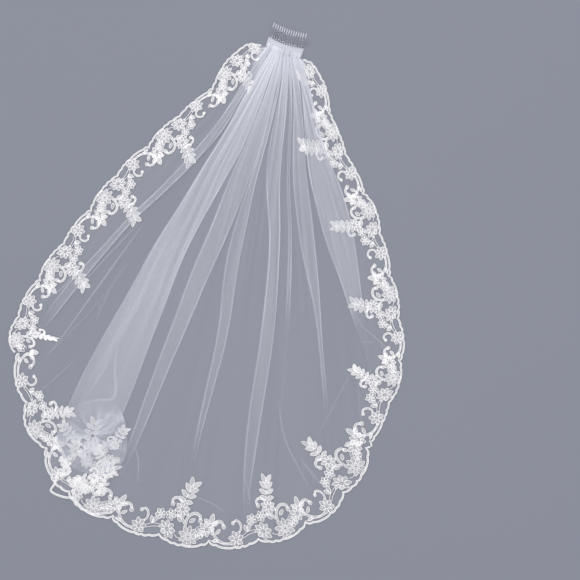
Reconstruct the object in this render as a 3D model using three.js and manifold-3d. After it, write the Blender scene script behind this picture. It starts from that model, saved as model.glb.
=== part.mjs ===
// A one-tier bridal veil, laid out flat: a fan of soft tulle gathered into a folded binding on a
// clear hair comb, edged all round with openwork flower lace.
// Millimetres. X runs across the veil, Y from hem to comb, Z up from the surface it lies on.
// The origin is in the middle of the veil's outline box, on that surface.

import * as THREE from 'three';
import { mergeVertices } from 'three/addons/utils/BufferGeometryUtils.js';
import Module from 'manifold-3d';

const wasm = await Module();
wasm.setup();

// Driving sizes
const WALL = 1.2;
const GAP = 0.3;
const LACE_WALL = 1.2;
const LACE_MARGIN = 1.0;
const HEADER_SAG = 5;
const HEADER_DEPTH = 20;
const HEADER_END_HEIGHT = 3;
const HEADER_CROWN = 4.5;
const GATHER_HEIGHT = 6.5;
const GATHER_FADE = 0.13;
const COMB_WIDTH = 74;
const COMB_LIFT = 4.5;
const COMB_SPINE_RADIUS = 1.9;
const TOOTH_COUNT = 15;
const TOOTH_LENGTH = 36;
const TOOTH_TILT = THREE.MathUtils.degToRad(48);
const TOOTH_ROOT_RADIUS = 1.25;
const TOOTH_TIP_RADIUS = 0.75;

// The rows below are measured from the middle of the picture's frame; this puts the origin in
// the middle of the outline box.
const ORIGIN = { x: -4.7, y: -4.7 };

// Guide line of the cloth's edge, without its scallops: from the left end of the binding down
// the left side, round the hem and up the right side.
const EDGE_STATIONS = [
  { x: 113, y: 477 },
  { x: 77, y: 478 },
  { x: 41, y: 449 },
  { x: 4, y: 392 },
  { x: -55, y: 344 },
  { x: -116, y: 286 },
  { x: -179, y: 228 },
  { x: -236, y: 157 },
  { x: -289, y: 90 },
  { x: -344, y: 11 },
  { x: -381, y: -55 },
  { x: -396, y: -105 },
  { x: -387, y: -151 },
  { x: -382, y: -197 },
  { x: -371, y: -241 },
  { x: -360, y: -283 },
  { x: -337, y: -323 },
  { x: -321, y: -363 },
  { x: -300, y: -403 },
  { x: -268, y: -433 },
  { x: -224, y: -458 },
  { x: -148, y: -493 },
  { x: -48, y: -517 },
  { x: 52, y: -523 },
  { x: 154, y: -502 },
  { x: 246, y: -452 },
  { x: 305, y: -372 },
  { x: 337, y: -295 },
  { x: 375, y: -207 },
  { x: 388, y: -131 },
  { x: 379, y: -49 },
  { x: 359, y: 45 },
  { x: 331, y: 147 },
  { x: 289, y: 233 },
  { x: 248, y: 325 },
  { x: 228, y: 403 },
  { x: 207, y: 438 },
  { x: 184, y: 453 },
];
const LEFT_CORNER = 11;
const RIGHT_CORNER = 29;

// Stretches of lace along the edge, from start to end by distance along it. A scroll of the
// pattern stands at scroll and at every repeat before and after it; scallop is how much of the
// full hem scallop the stretch has.
const LACE_RUNS = [
  { name: 'lace_left', start: 18, end: 832, scroll: 171, repeat: 173, scallop: 0.55 },
  { name: 'lace_hem', start: 832, end: 1858, scroll: 858, repeat: 204, scallop: 1 },
  { name: 'lace_right', start: 1858, end: 2664, scroll: 1889, repeat: 174, scallop: 0.55 },
];
const LEAST_GAP_REACH = 66;
const SCALLOP_RISE = 7;
const SCALLOP_CUSP = -9;
const SCALLOP_FOLLOW = 50;
const LOBES = [
  { from: -0.13, to: 0.37, rise: 0.7 },
  { from: 0.37, to: 0.87, rise: 1 },
];
const NOMINAL_REPEAT = 200;
const NOMINAL_DEPTH = 134;

// How deep the flower sprays reach in from the edge, by distance along it.
const LACE_DEPTHS = [
  { along: 0, depth: 14 },
  { along: 80, depth: 36 },
  { along: 170, depth: 82 },
  { along: 320, depth: 98 },
  { along: 1150, depth: 98 },
  { along: 1285, depth: 134 },
  { along: 1820, depth: 134 },
  { along: 2025, depth: 100 },
  { along: 2425, depth: 96 },
  { along: 2545, depth: 76 },
  { along: 2635, depth: 38 },
  { along: 2697, depth: 14 },
];

// Inner edge of one lace repeat, in the hem's sizes: low over the scroll, up over the flowers
// and round the tall leaf spray.
const SPRAY_OUTLINE = [
  { along: -22, depth: 42 },
  { along: -15, depth: 52 },
  { along: -4, depth: 57 },
  { along: 10, depth: 55 },
  { along: 18, depth: 46 },
  { along: 34, depth: 45 },
  { along: 46, depth: 40 },
  { along: 58, depth: 48 },
  { along: 66, depth: 66 },
  { along: 76, depth: 74 },
  { along: 87, depth: 66 },
  { along: 98, depth: 76 },
  { along: 105, depth: 92 },
  { along: 100, depth: 106 },
  { along: 111, depth: 104 },
  { along: 109, depth: 118 },
  { along: 120, depth: 134 },
  { along: 127, depth: 120 },
  { along: 124, depth: 110 },
  { along: 136, depth: 106 },
  { along: 131, depth: 94 },
  { along: 143, depth: 84 },
  { along: 150, depth: 78 },
  { along: 160, depth: 72 },
  { along: 165, depth: 58 },
  { along: 172, depth: 70 },
  { along: 176, depth: 50 },
];

// Gaps between the cords, flowers and leaves of one repeat, in the hem's sizes.
const LACE_GAPS = [
  { along: -8, depth: 12, length: 27, width: 9, turn: 0, sides: 6 },
  { along: 0, depth: 36, length: 22, width: 19, turn: 20, sides: 8 },
  { along: 25, depth: 11, length: 26, width: 9, turn: 5, sides: 6 },
  { along: 27, depth: 33, length: 14, width: 10, turn: -30, sides: 5 },
  { along: 55, depth: 13, length: 24, width: 12, turn: 0, sides: 6 },
  { along: 56, depth: 33, length: 17, width: 11, turn: 40, sides: 5 },
  { along: 83, depth: 11, length: 22, width: 9, turn: 0, sides: 6 },
  { along: 76, depth: 52, length: 12, width: 10, turn: 0, sides: 5 },
  { along: 84, depth: 34, length: 10, width: 16, turn: -15, sides: 5 },
  { along: 104, depth: 30, length: 13, width: 20, turn: 10, sides: 6 },
  { along: 101, depth: 58, length: 10, width: 15, turn: 20, sides: 5 },
  { along: 112, depth: 11, length: 22, width: 9, turn: 0, sides: 6 },
  { along: 122, depth: 60, length: 13, width: 17, turn: 0, sides: 6 },
  { along: 119, depth: 87, length: 9, width: 14, turn: 0, sides: 5 },
  { along: 138, depth: 12, length: 20, width: 10, turn: -5, sides: 6 },
  { along: 133, depth: 34, length: 15, width: 15, turn: 0, sides: 5 },
  { along: 146, depth: 58, length: 14, width: 13, turn: 0, sides: 6 },
  { along: 158, depth: 32, length: 16, width: 15, turn: 0, sides: 6 },
];

// Folds that fan out from the comb, left to right. left and right are the fold's edges across
// the sheet (0 its left side, 1 its right side) at the five places of FOLD_PLACES; shows is the
// stretch of the sheet's length where the fold lies flat below the gathers; ridges is the number
// of gathers that run into it.
const FOLD_PLACES = [0, 0.2, 0.4, 0.6, 0.8];
const FOLDS = [
  {
    name: 'side left', ridges: 2, rise: 0, shows: [0, 0.2],
    left: [0.06, 0.170, 0.150, 0.103, 0.072], right: [0.15, 0.235, 0.172, 0.121, 0.094],
  },
  {
    name: 'broad', ridges: 4, rise: 2.6, shows: [0, 0.7],
    left: [0.17, 0.250, 0.244, 0.230, 0.217], right: [0.38, 0.380, 0.334, 0.325, 0.322],
  },
  {
    name: 'middle left', ridges: 2, rise: 1.8, shows: [0, 0.84],
    left: [0.40, 0.393, 0.380, 0.357, 0.351], right: [0.49, 0.465, 0.433, 0.399, 0.369],
  },
  {
    name: 'middle short', ridges: 1, rise: 1.6, shows: [0, 0.82],
    left: [0.51, 0.478, 0.446, 0.463, 0.463], right: [0.54, 0.498, 0.485, 0.486, 0.472],
  },
  {
    name: 'middle', ridges: 2, rise: 1.9, shows: [0, 0.84],
    left: [0.56, 0.520, 0.569, 0.563, 0.556], right: [0.64, 0.597, 0.605, 0.594, 0.578],
  },
  {
    name: 'thin', ridges: 1, rise: 1.2, shows: [0, 0.56],
    left: [0.66, 0.630, 0.634, 0.620, 0.616], right: [0.69, 0.645, 0.645, 0.630, 0.626],
  },
  {
    name: 'middle right', ridges: 2, rise: 1.7, shows: [0, 0.7],
    left: [0.71, 0.660, 0.672, 0.701, 0.712], right: [0.80, 0.735, 0.726, 0.714, 0.722],
  },
  {
    name: 'side right', ridges: 2, rise: 0, shows: [0, 0.2],
    left: [0.83, 0.755, 0.762, 0.789, 0.850], right: [0.93, 0.800, 0.880, 0.878, 0.868],
  },
];

// The two folds that lie over the lace are stretches of their own: they start at the gathers.
const SIDE_FOLDS = [
  { node: 'fold_left', fold: 'side left', from: 0.215, to: 0.78 },
  { node: 'fold_right', fold: 'side right', from: 0.235, to: 0.76 },
];
const SIDE_FOLD_STEPS = 14;
const SIDE_FOLD_WALL = 1.3;
const SIDE_FOLD_CROWN = 0.9;

// The corner where the broad fold opens into a rounded bag over the lace.
const CORNER_STATIONS = [
  { x: -262, y: -229 },
  { x: -230, y: -216 },
  { x: -196, y: -229 },
  { x: -171, y: -263 },
  { x: -163, y: -309 },
  { x: -170, y: -350 },
  { x: -194, y: -374 },
  { x: -238, y: -378 },
  { x: -278, y: -361 },
  { x: -299, y: -329 },
  { x: -302, y: -290 },
  { x: -288, y: -254 },
];
const CORNER_SIDES = 30;
const CORNER_RINGS = [
  { scale: 1.00, rise: 1.3 },
  { scale: 0.955, rise: 1.9 },
  { scale: 0.945, rise: 3.4 },
  { scale: 0.88, rise: 4.2 },
  { scale: 0.87, rise: 5.8 },
  { scale: 0.72, rise: 8.6 },
  { scale: 0.50, rise: 11.4 },
  { scale: 0.25, rise: 12.8 },
];
const CORNER_CROWN = 13.2;

// Grid of the cloth's top
const GRID_ROWS = 25;
const GRID_ROW_POWER = 1.3;
const GRID_SIDE = 0.02;
const GRID_END = 0.965;
const EDGE_STEP = 5;

// Small helpers
const lerp = THREE.MathUtils.lerp;
const clamp = THREE.MathUtils.clamp;
const smooth = THREE.MathUtils.smoothstep;

function place(row) {
  return new THREE.Vector2(row.x - ORIGIN.x, row.y - ORIGIN.y);
}

function alongTable(rows, key, value, x) {
  for (let i = 1; i < rows.length; i += 1) {
    if (x <= rows[i][key] || i === rows.length - 1) {
      const a = rows[i - 1];
      const b = rows[i];
      const f = clamp((x - a[key]) / (b[key] - a[key]), 0, 1);
      return lerp(a[value], b[value], f);
    }
  }
  return rows[0][value];
}

// A smooth value through evenly placed entries, as a Catmull-Rom line.
function alongPlaces(values, t) {
  const step = FOLD_PLACES[1] - FOLD_PLACES[0];
  const x = clamp(t / step, 0, values.length - 1);
  const i = Math.min(Math.floor(x), values.length - 2);
  const f = x - i;
  const a = values[Math.max(i - 1, 0)];
  const b = values[i];
  const c = values[i + 1];
  const d = values[Math.min(i + 2, values.length - 1)];
  return b + 0.5 * f * (c - a + f * (2 * a - 5 * b + 4 * c - d + f * (3 * (b - c) + d - a)));
}

// The cloth's edge as a line measured by its length
const edgeLine = (() => {
  const points = EDGE_STATIONS.map((row) => new THREE.Vector3(place(row).x, place(row).y, 0));
  const curve = new THREE.CatmullRomCurve3(points, false, 'centripetal');
  const perSpan = 40;
  const dense = curve.getPoints((EDGE_STATIONS.length - 1) * perSpan);
  const reach = [0];
  for (let i = 1; i < dense.length; i += 1) {
    reach.push(reach[i - 1] + dense[i].distanceTo(dense[i - 1]));
  }
  const stationAt = (index) => reach[index * perSpan];
  return { dense, reach, length: reach[reach.length - 1], stationAt };
})();
const LEFT_LENGTH = edgeLine.stationAt(LEFT_CORNER);
const RIGHT_START = edgeLine.stationAt(RIGHT_CORNER);

function edgeAt(along) {
  const { dense, reach, length } = edgeLine;
  const w = clamp(along, 0, length);
  let low = 0;
  let high = reach.length - 1;
  while (high - low > 1) {
    const middle = (low + high) >> 1;
    if (reach[middle] <= w) low = middle;
    else high = middle;
  }
  const f = (w - reach[low]) / (reach[high] - reach[low]);
  return new THREE.Vector2(
    lerp(dense[low].x, dense[high].x, f),
    lerp(dense[low].y, dense[high].y, f),
  );
}

const NORMAL_REACH = 35;

function inwardAt(along) {
  const low = Math.max(along - NORMAL_REACH, 0);
  const high = Math.min(along + NORMAL_REACH, edgeLine.length);
  const run = edgeAt(high).sub(edgeAt(low)).normalize();
  return new THREE.Vector2(-run.y, run.x);
}

function fromEdge(along, depth) {
  return edgeAt(along).addScaledVector(inwardAt(along), depth);
}

// The nearest place on the edge line, and how far in from it a point lies.
const edgeSamples = Array.from({ length: 268 }, (_, i) => {
  const along = (edgeLine.length * i) / 267;
  return { along, point: edgeAt(along) };
});

function nearestEdge(point) {
  let best = edgeSamples[0];
  let least = Infinity;
  for (const sample of edgeSamples) {
    const distance = sample.point.distanceToSquared(point);
    if (distance < least) {
      least = distance;
      best = sample;
    }
  }
  return { along: best.along, depth: Math.sqrt(least) };
}

// The header line, where the gathered cloth meets the binding: u from 0 left to 1 right.
const headerStart = edgeAt(0);
const headerEnd = edgeAt(edgeLine.length);
const headerRun = headerEnd.clone().sub(headerStart);
const headerAxis = headerRun.clone().normalize();
const towardsComb = new THREE.Vector2(-headerAxis.y, headerAxis.x);

function arch(u) {
  return 4 * u * (1 - u);
}

function headerAt(u, back = 0) {
  return headerStart.clone()
    .addScaledVector(headerRun, u)
    .addScaledVector(towardsComb, back - HEADER_SAG * arch(u));
}

// The sheet between header, sides and hem: u across, t from header to hem.
function sheetAt(u, t) {
  const top = headerAt(u);
  const hem = edgeAt(lerp(LEFT_LENGTH, RIGHT_START, u));
  const left = edgeAt(LEFT_LENGTH * t);
  const right = edgeAt(edgeLine.length - (edgeLine.length - RIGHT_START) * t);
  const corners = new THREE.Vector2()
    .addScaledVector(headerStart, (1 - u) * (1 - t))
    .addScaledVector(headerEnd, u * (1 - t))
    .addScaledVector(edgeAt(LEFT_LENGTH), (1 - u) * t)
    .addScaledVector(edgeAt(RIGHT_START), u * t);
  return new THREE.Vector2()
    .addScaledVector(top, 1 - t)
    .addScaledVector(hem, t)
    .addScaledVector(left, 1 - u)
    .addScaledVector(right, u)
    .sub(corners);
}

// Scallops of the edge: how far the cloth reaches out from the guide line.
function scallopAt(along) {
  const run = LACE_RUNS.find((row) => along < row.end) ?? LACE_RUNS[LACE_RUNS.length - 1];
  const phase = THREE.MathUtils.euclideanModulo((along - run.scroll) / run.repeat + 0.13, 1) - 0.13;
  const lobe = LOBES.find((row) => phase < row.to) ?? LOBES[LOBES.length - 1];
  const swell = Math.sin(Math.PI * clamp((phase - lobe.from) / (lobe.to - lobe.from), 0, 1));
  const fromEnd = Math.min(along, edgeLine.length - along);
  const cusp = SCALLOP_CUSP * smooth(fromEnd, 60, 300);
  const rise = SCALLOP_RISE * smooth(fromEnd, 0, 30) * lobe.rise;
  return run.scallop * lerp(cusp, rise, Math.sqrt(swell));
}

function outerAt(along, inset = 0) {
  return fromEdge(along, inset - scallopAt(along));
}

// Height of the cloth's top at a place of the sheet, given how much of a fold lies there.
function gatherAt(u, t) {
  return GATHER_HEIGHT * Math.exp(-t / GATHER_FADE) * (0.35 + 0.65 * arch(u));
}

function reliefShare(point) {
  const near = nearestEdge(point);
  const lace = alongTable(LACE_DEPTHS, 'along', 'depth', near.along);
  return smooth(near.depth, lace + 2, lace + 12);
}

function topAt(u, t, fold) {
  const height = gatherAt(u, t) * fold.gather + fold.rise;
  return WALL + reliefShare(sheetAt(u, t)) * height;
}

// Columns of one grid row: two at each edge of a fold, so that it is layered there, one on each
// gather ridge and valley, and plain ones between.
const VALLEY = 0.55;
const BETWEEN = 0.3;

function rowColumns(t) {
  const columns = [];
  const plain = { gather: BETWEEN, rise: 0 };
  const edges = FOLDS.map((fold) => ({
    fold,
    left: alongPlaces(fold.left, t),
    right: alongPlaces(fold.right, t),
  }));
  const first = edges[0].left;
  const last = edges[edges.length - 1].right;
  for (const share of [0, 0.35, 0.7]) {
    columns.push({ u: lerp(GRID_SIDE, first, share), lie: plain });
  }
  edges.forEach(({ fold, left, right }, index) => {
    const width = right - left;
    const shows = 1 - smooth(t, fold.shows[1] - 0.08, fold.shows[1]);
    const rise = fold.rise * shows;
    columns.push({ u: left, lie: plain });
    columns.push({ u: left + 0.05 * width, lie: { gather: 0.8, rise } });
    for (let ridge = 0; ridge < fold.ridges; ridge += 1) {
      const crest = lerp(left, right, 0.1 + (0.8 * (ridge + 0.5)) / fold.ridges);
      columns.push({ u: crest, lie: { gather: 1, rise: rise * 1.12 } });
      if (ridge < fold.ridges - 1) {
        const valley = lerp(left, right, 0.1 + (0.8 * (ridge + 1)) / fold.ridges);
        columns.push({ u: valley, lie: { gather: VALLEY, rise: rise * 0.85 } });
      }
    }
    columns.push({ u: right - 0.05 * width, lie: { gather: 0.8, rise } });
    columns.push({ u: right, lie: plain });
    if (index < edges.length - 1) {
      columns.push({ u: (right + edges[index + 1].left) / 2, lie: plain });
    }
  });
  for (const share of [0.3, 0.65, 1]) {
    columns.push({ u: lerp(last, 1 - GRID_SIDE, share), lie: plain });
  }
  return columns;
}

// A closed body gathered from its corners and faces
class Body {
  constructor() {
    this.points = [];
    this.faces = [];
  }

  point(x, y, z) {
    this.points.push([x, y, z]);
    return this.points.length - 1;
  }

  face(a, b, c) {
    this.faces.push([a, b, c]);
  }

  // A face that looks up (or down), whichever way its corners are given.
  level(a, b, c, up) {
    const [p, q, r] = [a, b, c].map((i) => this.points[i]);
    const turn = (q[0] - p[0]) * (r[1] - p[1]) - (q[1] - p[1]) * (r[0] - p[0]);
    if ((turn > 0) === up) this.face(a, b, c);
    else this.face(a, c, b);
  }

  // A wall between two rims, outwards when the rims run counter-clockwise seen from above.
  wall(lower, upper) {
    lower.forEach((low, i) => {
      const next = (i + 1) % lower.length;
      this.face(low, lower[next], upper[next]);
      this.face(low, upper[next], upper[i]);
    });
  }

  geometry() {
    const geometry = new THREE.BufferGeometry();
    geometry.setAttribute('position', new THREE.Float32BufferAttribute(this.points.flat(), 3));
    geometry.setIndex(this.faces.flat());
    geometry.computeVertexNormals();
    return geometry;
  }
}

function isCounterClockwise(points) {
  return THREE.ShapeUtils.area(points) > 0;
}

// Materials
const tulleCloth = new THREE.MeshStandardMaterial({ color: 0xf1f2f6, roughness: 0.85 });
const laceThread = new THREE.MeshStandardMaterial({ color: 0xf7f7fa, roughness: 0.7 });
const bindingCloth = new THREE.MeshStandardMaterial({ color: 0xeeeff5, roughness: 0.75 });
const clearPlastic = new THREE.MeshStandardMaterial({ color: 0xc6ccd6, roughness: 0.15 });

const veil = new THREE.Group();

function addPiece(name, geometry, material) {
  const mesh = new THREE.Mesh(geometry, material);
  mesh.name = name;
  veil.add(mesh);
}

// The tulle: flat below, with gathers and folds raised in its top
function tullePanel() {
  const body = new Body();
  const grid = [];
  for (let row = 0; row <= GRID_ROWS; row += 1) {
    const t = GRID_END * (row / GRID_ROWS) ** GRID_ROW_POWER;
    grid.push(rowColumns(t).map(({ u, lie }) => {
      const point = sheetAt(u, t);
      return body.point(point.x, point.y, topAt(u, t, lie));
    }));
  }
  for (let row = 0; row < GRID_ROWS; row += 1) {
    for (let column = 0; column < grid[0].length - 1; column += 1) {
      const corners = [grid[row][column], grid[row][column + 1]];
      corners.push(grid[row + 1][column + 1], grid[row + 1][column]);
      body.level(corners[0], corners[1], corners[2], true);
      body.level(corners[0], corners[2], corners[3], true);
    }
  }
  const flat = (i) => new THREE.Vector2(body.points[i][0], body.points[i][1]);
  const steps = Math.round(edgeLine.length / (2 * EDGE_STEP));
  const rim = Array.from({ length: steps + 1 }, (_, i) => {
    const point = outerAt((edgeLine.length * i) / steps);
    return body.point(point.x, point.y, WALL);
  });
  const inner = [
    ...grid.map((row) => row[row.length - 1]),
    ...grid[GRID_ROWS].slice(1, -1).reverse(),
    ...grid.map((row) => row[0]).reverse(),
  ];
  const band = [...rim, ...inner];
  for (const [a, b, c] of THREE.ShapeUtils.triangulateShape(band.map(flat), [])) {
    body.level(band[a], band[b], band[c], true);
  }
  const upper = [...rim, ...[...grid[0]].reverse()];
  const lower = upper.map((i) => body.point(body.points[i][0], body.points[i][1], 0));
  for (const [a, b, c] of THREE.ShapeUtils.triangulateShape(lower.map(flat), [])) {
    body.level(lower[a], lower[b], lower[c], false);
  }
  if (isCounterClockwise(lower.map(flat))) body.wall(lower, upper);
  else body.wall([...lower].reverse(), [...upper].reverse());
  return body.geometry();
}

// A stretch of lace: a thin plate over the tulle with its gaps cut through
const LACE_UNDER = WALL + GAP;
const OUTER_PLACES = [
  -0.13, -0.1, -0.04, 0.03, 0.12, 0.2, 0.28, 0.34, 0.37, 0.4, 0.46, 0.55, 0.65, 0.75, 0.83,
];
const RUN_CLEARANCE = 4;

function laceStretch(run) {
  const { start, end, scroll, repeat } = run;
  const scale = repeat / NOMINAL_REPEAT;
  const firstRepeat = Math.floor((start - scroll) / repeat);
  const lastRepeat = Math.ceil((end - scroll) / repeat);
  const inRun = (along) => along > start + RUN_CLEARANCE && along < end - RUN_CLEARANCE;
  const reachAt = (along) => alongTable(LACE_DEPTHS, 'along', 'depth', along);
  const depthAt = (along, depth) => (depth * reachAt(along)) / NOMINAL_DEPTH;
  const lacePoint = (along, depth) => {
    const followsEdge = 1 - smooth(depth, 0, SCALLOP_FOLLOW);
    return fromEdge(along, LACE_MARGIN + depthAt(along, depth) - scallopAt(along) * followsEdge);
  };
  const outer = [outerAt(start, LACE_MARGIN)];
  const inner = [lacePoint(start, SPRAY_OUTLINE[0].depth)];
  const holes = [];
  for (let index = firstRepeat; index <= lastRepeat; index += 1) {
    const origin = scroll + index * repeat;
    for (const share of OUTER_PLACES) {
      const along = origin + share * repeat;
      if (inRun(along)) outer.push(outerAt(along, LACE_MARGIN));
    }
    for (const row of SPRAY_OUTLINE) {
      const along = origin + row.along * scale;
      if (inRun(along)) inner.push(lacePoint(along, row.depth));
    }
    for (const gap of LACE_GAPS) {
      const along = origin + gap.along * scale;
      const half = (gap.length * scale) / 2;
      const whole = inRun(along - half) && inRun(along + half);
      if (whole && reachAt(along) > LEAST_GAP_REACH) {
        holes.push(gapOutline(gap, origin, scale, lacePoint));
      }
    }
  }
  outer.push(outerAt(end - GAP, LACE_MARGIN));
  inner.push(lacePoint(end - GAP, SPRAY_OUTLINE[0].depth));
  return openPlate([...outer, ...inner.reverse()], holes, LACE_UNDER, LACE_UNDER + LACE_WALL);
}

function gapOutline(gap, origin, scale, lacePoint) {
  const turn = THREE.MathUtils.degToRad(gap.turn);
  return Array.from({ length: gap.sides }, (_, i) => {
    const angle = (2 * Math.PI * (i + 0.5)) / gap.sides;
    const x = (gap.length / 2) * Math.cos(angle);
    const y = (gap.width / 2) * Math.sin(angle);
    const along = gap.along + x * Math.cos(turn) - y * Math.sin(turn);
    const depth = gap.depth + x * Math.sin(turn) + y * Math.cos(turn);
    return lacePoint(origin + along * scale, depth);
  });
}

function openPlate(contour, holes, low, high) {
  const body = new Body();
  const loops = [contour, ...holes];
  const lower = loops.map((loop) => loop.map((p) => body.point(p.x, p.y, low)));
  const upper = loops.map((loop) => loop.map((p) => body.point(p.x, p.y, high)));
  const flatLower = lower.flat();
  const flatUpper = upper.flat();
  for (const [a, b, c] of THREE.ShapeUtils.triangulateShape(contour, holes)) {
    body.level(flatLower[a], flatLower[b], flatLower[c], false);
    body.level(flatUpper[a], flatUpper[b], flatUpper[c], true);
  }
  loops.forEach((loop, i) => {
    const outwards = isCounterClockwise(loop) === (i === 0);
    if (outwards) body.wall(lower[i], upper[i]);
    else body.wall([...lower[i]].reverse(), [...upper[i]].reverse());
  });
  return body.geometry();
}

// A body through equal rings of points, closed by a fan at each end
function loft(rings, closed = true) {
  const body = new Body();
  const ids = rings.map((ring) => ring.map((p) => body.point(p.x, p.y, p.z)));
  for (let i = 0; i < ids.length - 1; i += 1) {
    ids[i].forEach((a, j) => {
      const next = (j + 1) % ids[i].length;
      body.face(a, ids[i][next], ids[i + 1][next]);
      body.face(a, ids[i + 1][next], ids[i + 1][j]);
    });
  }
  if (closed) {
    const lastRing = ids[ids.length - 1];
    for (let j = 1; j < ids[0].length - 1; j += 1) {
      body.face(ids[0][0], ids[0][j + 1], ids[0][j]);
      body.face(lastRing[0], lastRing[j], lastRing[j + 1]);
    }
  }
  return body;
}

// Turns a loft right side out.
function outwardGeometry(body) {
  let volume = 0;
  for (const [a, b, c] of body.faces) {
    const [p, q, r] = [a, b, c].map((i) => new THREE.Vector3(...body.points[i]));
    volume += p.dot(q.cross(r));
  }
  if (volume < 0) body.faces = body.faces.map(([a, b, c]) => [a, c, b]);
  return body.geometry();
}

// The folded tulle binding: a rounded roll that follows the header line
const BINDING_STEPS = 16;
const BINDING_SECTION = [
  { back: 0, height: 0 },
  { back: 1, height: 0 },
  { back: 1, height: 0.62 },
  { back: 0.8, height: 0.95 },
  { back: 0.5, height: 1 },
  { back: 0.2, height: 0.97 },
  { back: 0, height: 0.8 },
];

function headerBinding() {
  const rings = Array.from({ length: BINDING_STEPS + 1 }, (_, i) => {
    const u = i / BINDING_STEPS;
    const height = HEADER_END_HEIGHT + HEADER_CROWN * arch(u);
    return BINDING_SECTION.map((row) => {
      const point = headerAt(u, GAP + row.back * (HEADER_DEPTH - GAP));
      return new THREE.Vector3(point.x, point.y, row.height * height);
    });
  });
  return outwardGeometry(loft(rings));
}

// The side folds: thin doubled cloth over the lace, crowned along the middle
const SIDE_FOLD_SECTION = [
  { across: 0, up: 0, crown: 0 },
  { across: 1, up: 0, crown: 0 },
  { across: 1, up: 0.6, crown: 0 },
  { across: 0.85, up: 1, crown: 0.4 },
  { across: 0.5, up: 1, crown: 1 },
  { across: 0.15, up: 1, crown: 0.4 },
  { across: 0, up: 0.6, crown: 0 },
];

function sideFold({ fold: foldName, from, to }) {
  const fold = FOLDS.find((row) => row.name === foldName);
  const over = LACE_UNDER + LACE_WALL + GAP;
  const rings = Array.from({ length: SIDE_FOLD_STEPS + 1 }, (_, i) => {
    const t = lerp(from, to, i / SIDE_FOLD_STEPS);
    const left = sheetAt(alongPlaces(fold.left, t), t);
    const right = sheetAt(alongPlaces(fold.right, t), t);
    const under = over + gatherAt(0.5, t);
    return SIDE_FOLD_SECTION.map((row) => {
      const point = left.clone().lerp(right, row.across);
      const z = under + row.up * SIDE_FOLD_WALL + row.crown * SIDE_FOLD_CROWN;
      return new THREE.Vector3(point.x, point.y, z);
    });
  });
  return outwardGeometry(loft(rings));
}

// The corner bag: hidden layers in one rounded body, stepped like layers at its rim
function cornerFold() {
  const points = CORNER_STATIONS.map((row) => new THREE.Vector3(place(row).x, place(row).y, 0));
  const curve = new THREE.CatmullRomCurve3(points, true, 'centripetal');
  const rim = curve.getSpacedPoints(CORNER_SIDES).slice(0, CORNER_SIDES);
  const centre = rim.reduce((sum, p) => sum.add(p), new THREE.Vector3()).divideScalar(rim.length);
  const under = LACE_UNDER + LACE_WALL + GAP;
  const ringAt = (scale, z) => rim.map((p) => centre.clone().lerp(p, scale).setZ(z));
  const rings = [
    ringAt(1, under),
    ...CORNER_RINGS.map((row) => ringAt(row.scale, under + row.rise)),
  ];
  const body = loft(rings, false);
  const ringSize = CORNER_SIDES;
  const apex = body.point(centre.x, centre.y, under + CORNER_CROWN);
  const base = body.point(centre.x, centre.y, under);
  const lastRing = (rings.length - 1) * ringSize;
  for (let j = 0; j < ringSize; j += 1) {
    const next = (j + 1) % ringSize;
    body.face(lastRing + j, lastRing + next, apex);
    body.face(next, j, base);
  }
  return outwardGeometry(body);
}

// The comb: a rounded spine with tapered teeth that slant up from the surface
const SPINE_STEPS = 18;
const SPINE_SIDES = 8;
const TOOTH_SIDES = 6;
const TOOTH_RINGS = [
  { reach: -0.02, size: 1 },
  { reach: 0.6, size: 0.85 },
  { reach: 0.93, size: 0.45 },
  { reach: 1, size: 0.12 },
];
const COMB_BACK = HEADER_DEPTH + GAP + COMB_SPINE_RADIUS;

function spineAt(share) {
  const u = 0.5 + (share * COMB_WIDTH) / headerRun.length() / 2;
  const point = headerAt(u, COMB_BACK);
  const bow = 1 - share * share;
  return new THREE.Vector3(point.x, point.y, COMB_SPINE_RADIUS + COMB_LIFT * bow);
}

function asManifold(geometry) {
  const plain = geometry.clone();
  plain.deleteAttribute('normal');
  plain.deleteAttribute('uv');
  const merged = mergeVertices(plain);
  const mesh = new wasm.Mesh({
    numProp: 3,
    vertProperties: Float32Array.from(merged.attributes.position.array),
    triVerts: Uint32Array.from(merged.index.array),
  });
  return new wasm.Manifold(mesh);
}

function fromManifold(solid) {
  const mesh = solid.getMesh();
  const geometry = new THREE.BufferGeometry();
  geometry.setAttribute('position', new THREE.BufferAttribute(mesh.vertProperties, 3));
  geometry.setIndex(new THREE.BufferAttribute(mesh.triVerts, 1));
  geometry.computeVertexNormals();
  return geometry;
}

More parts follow.
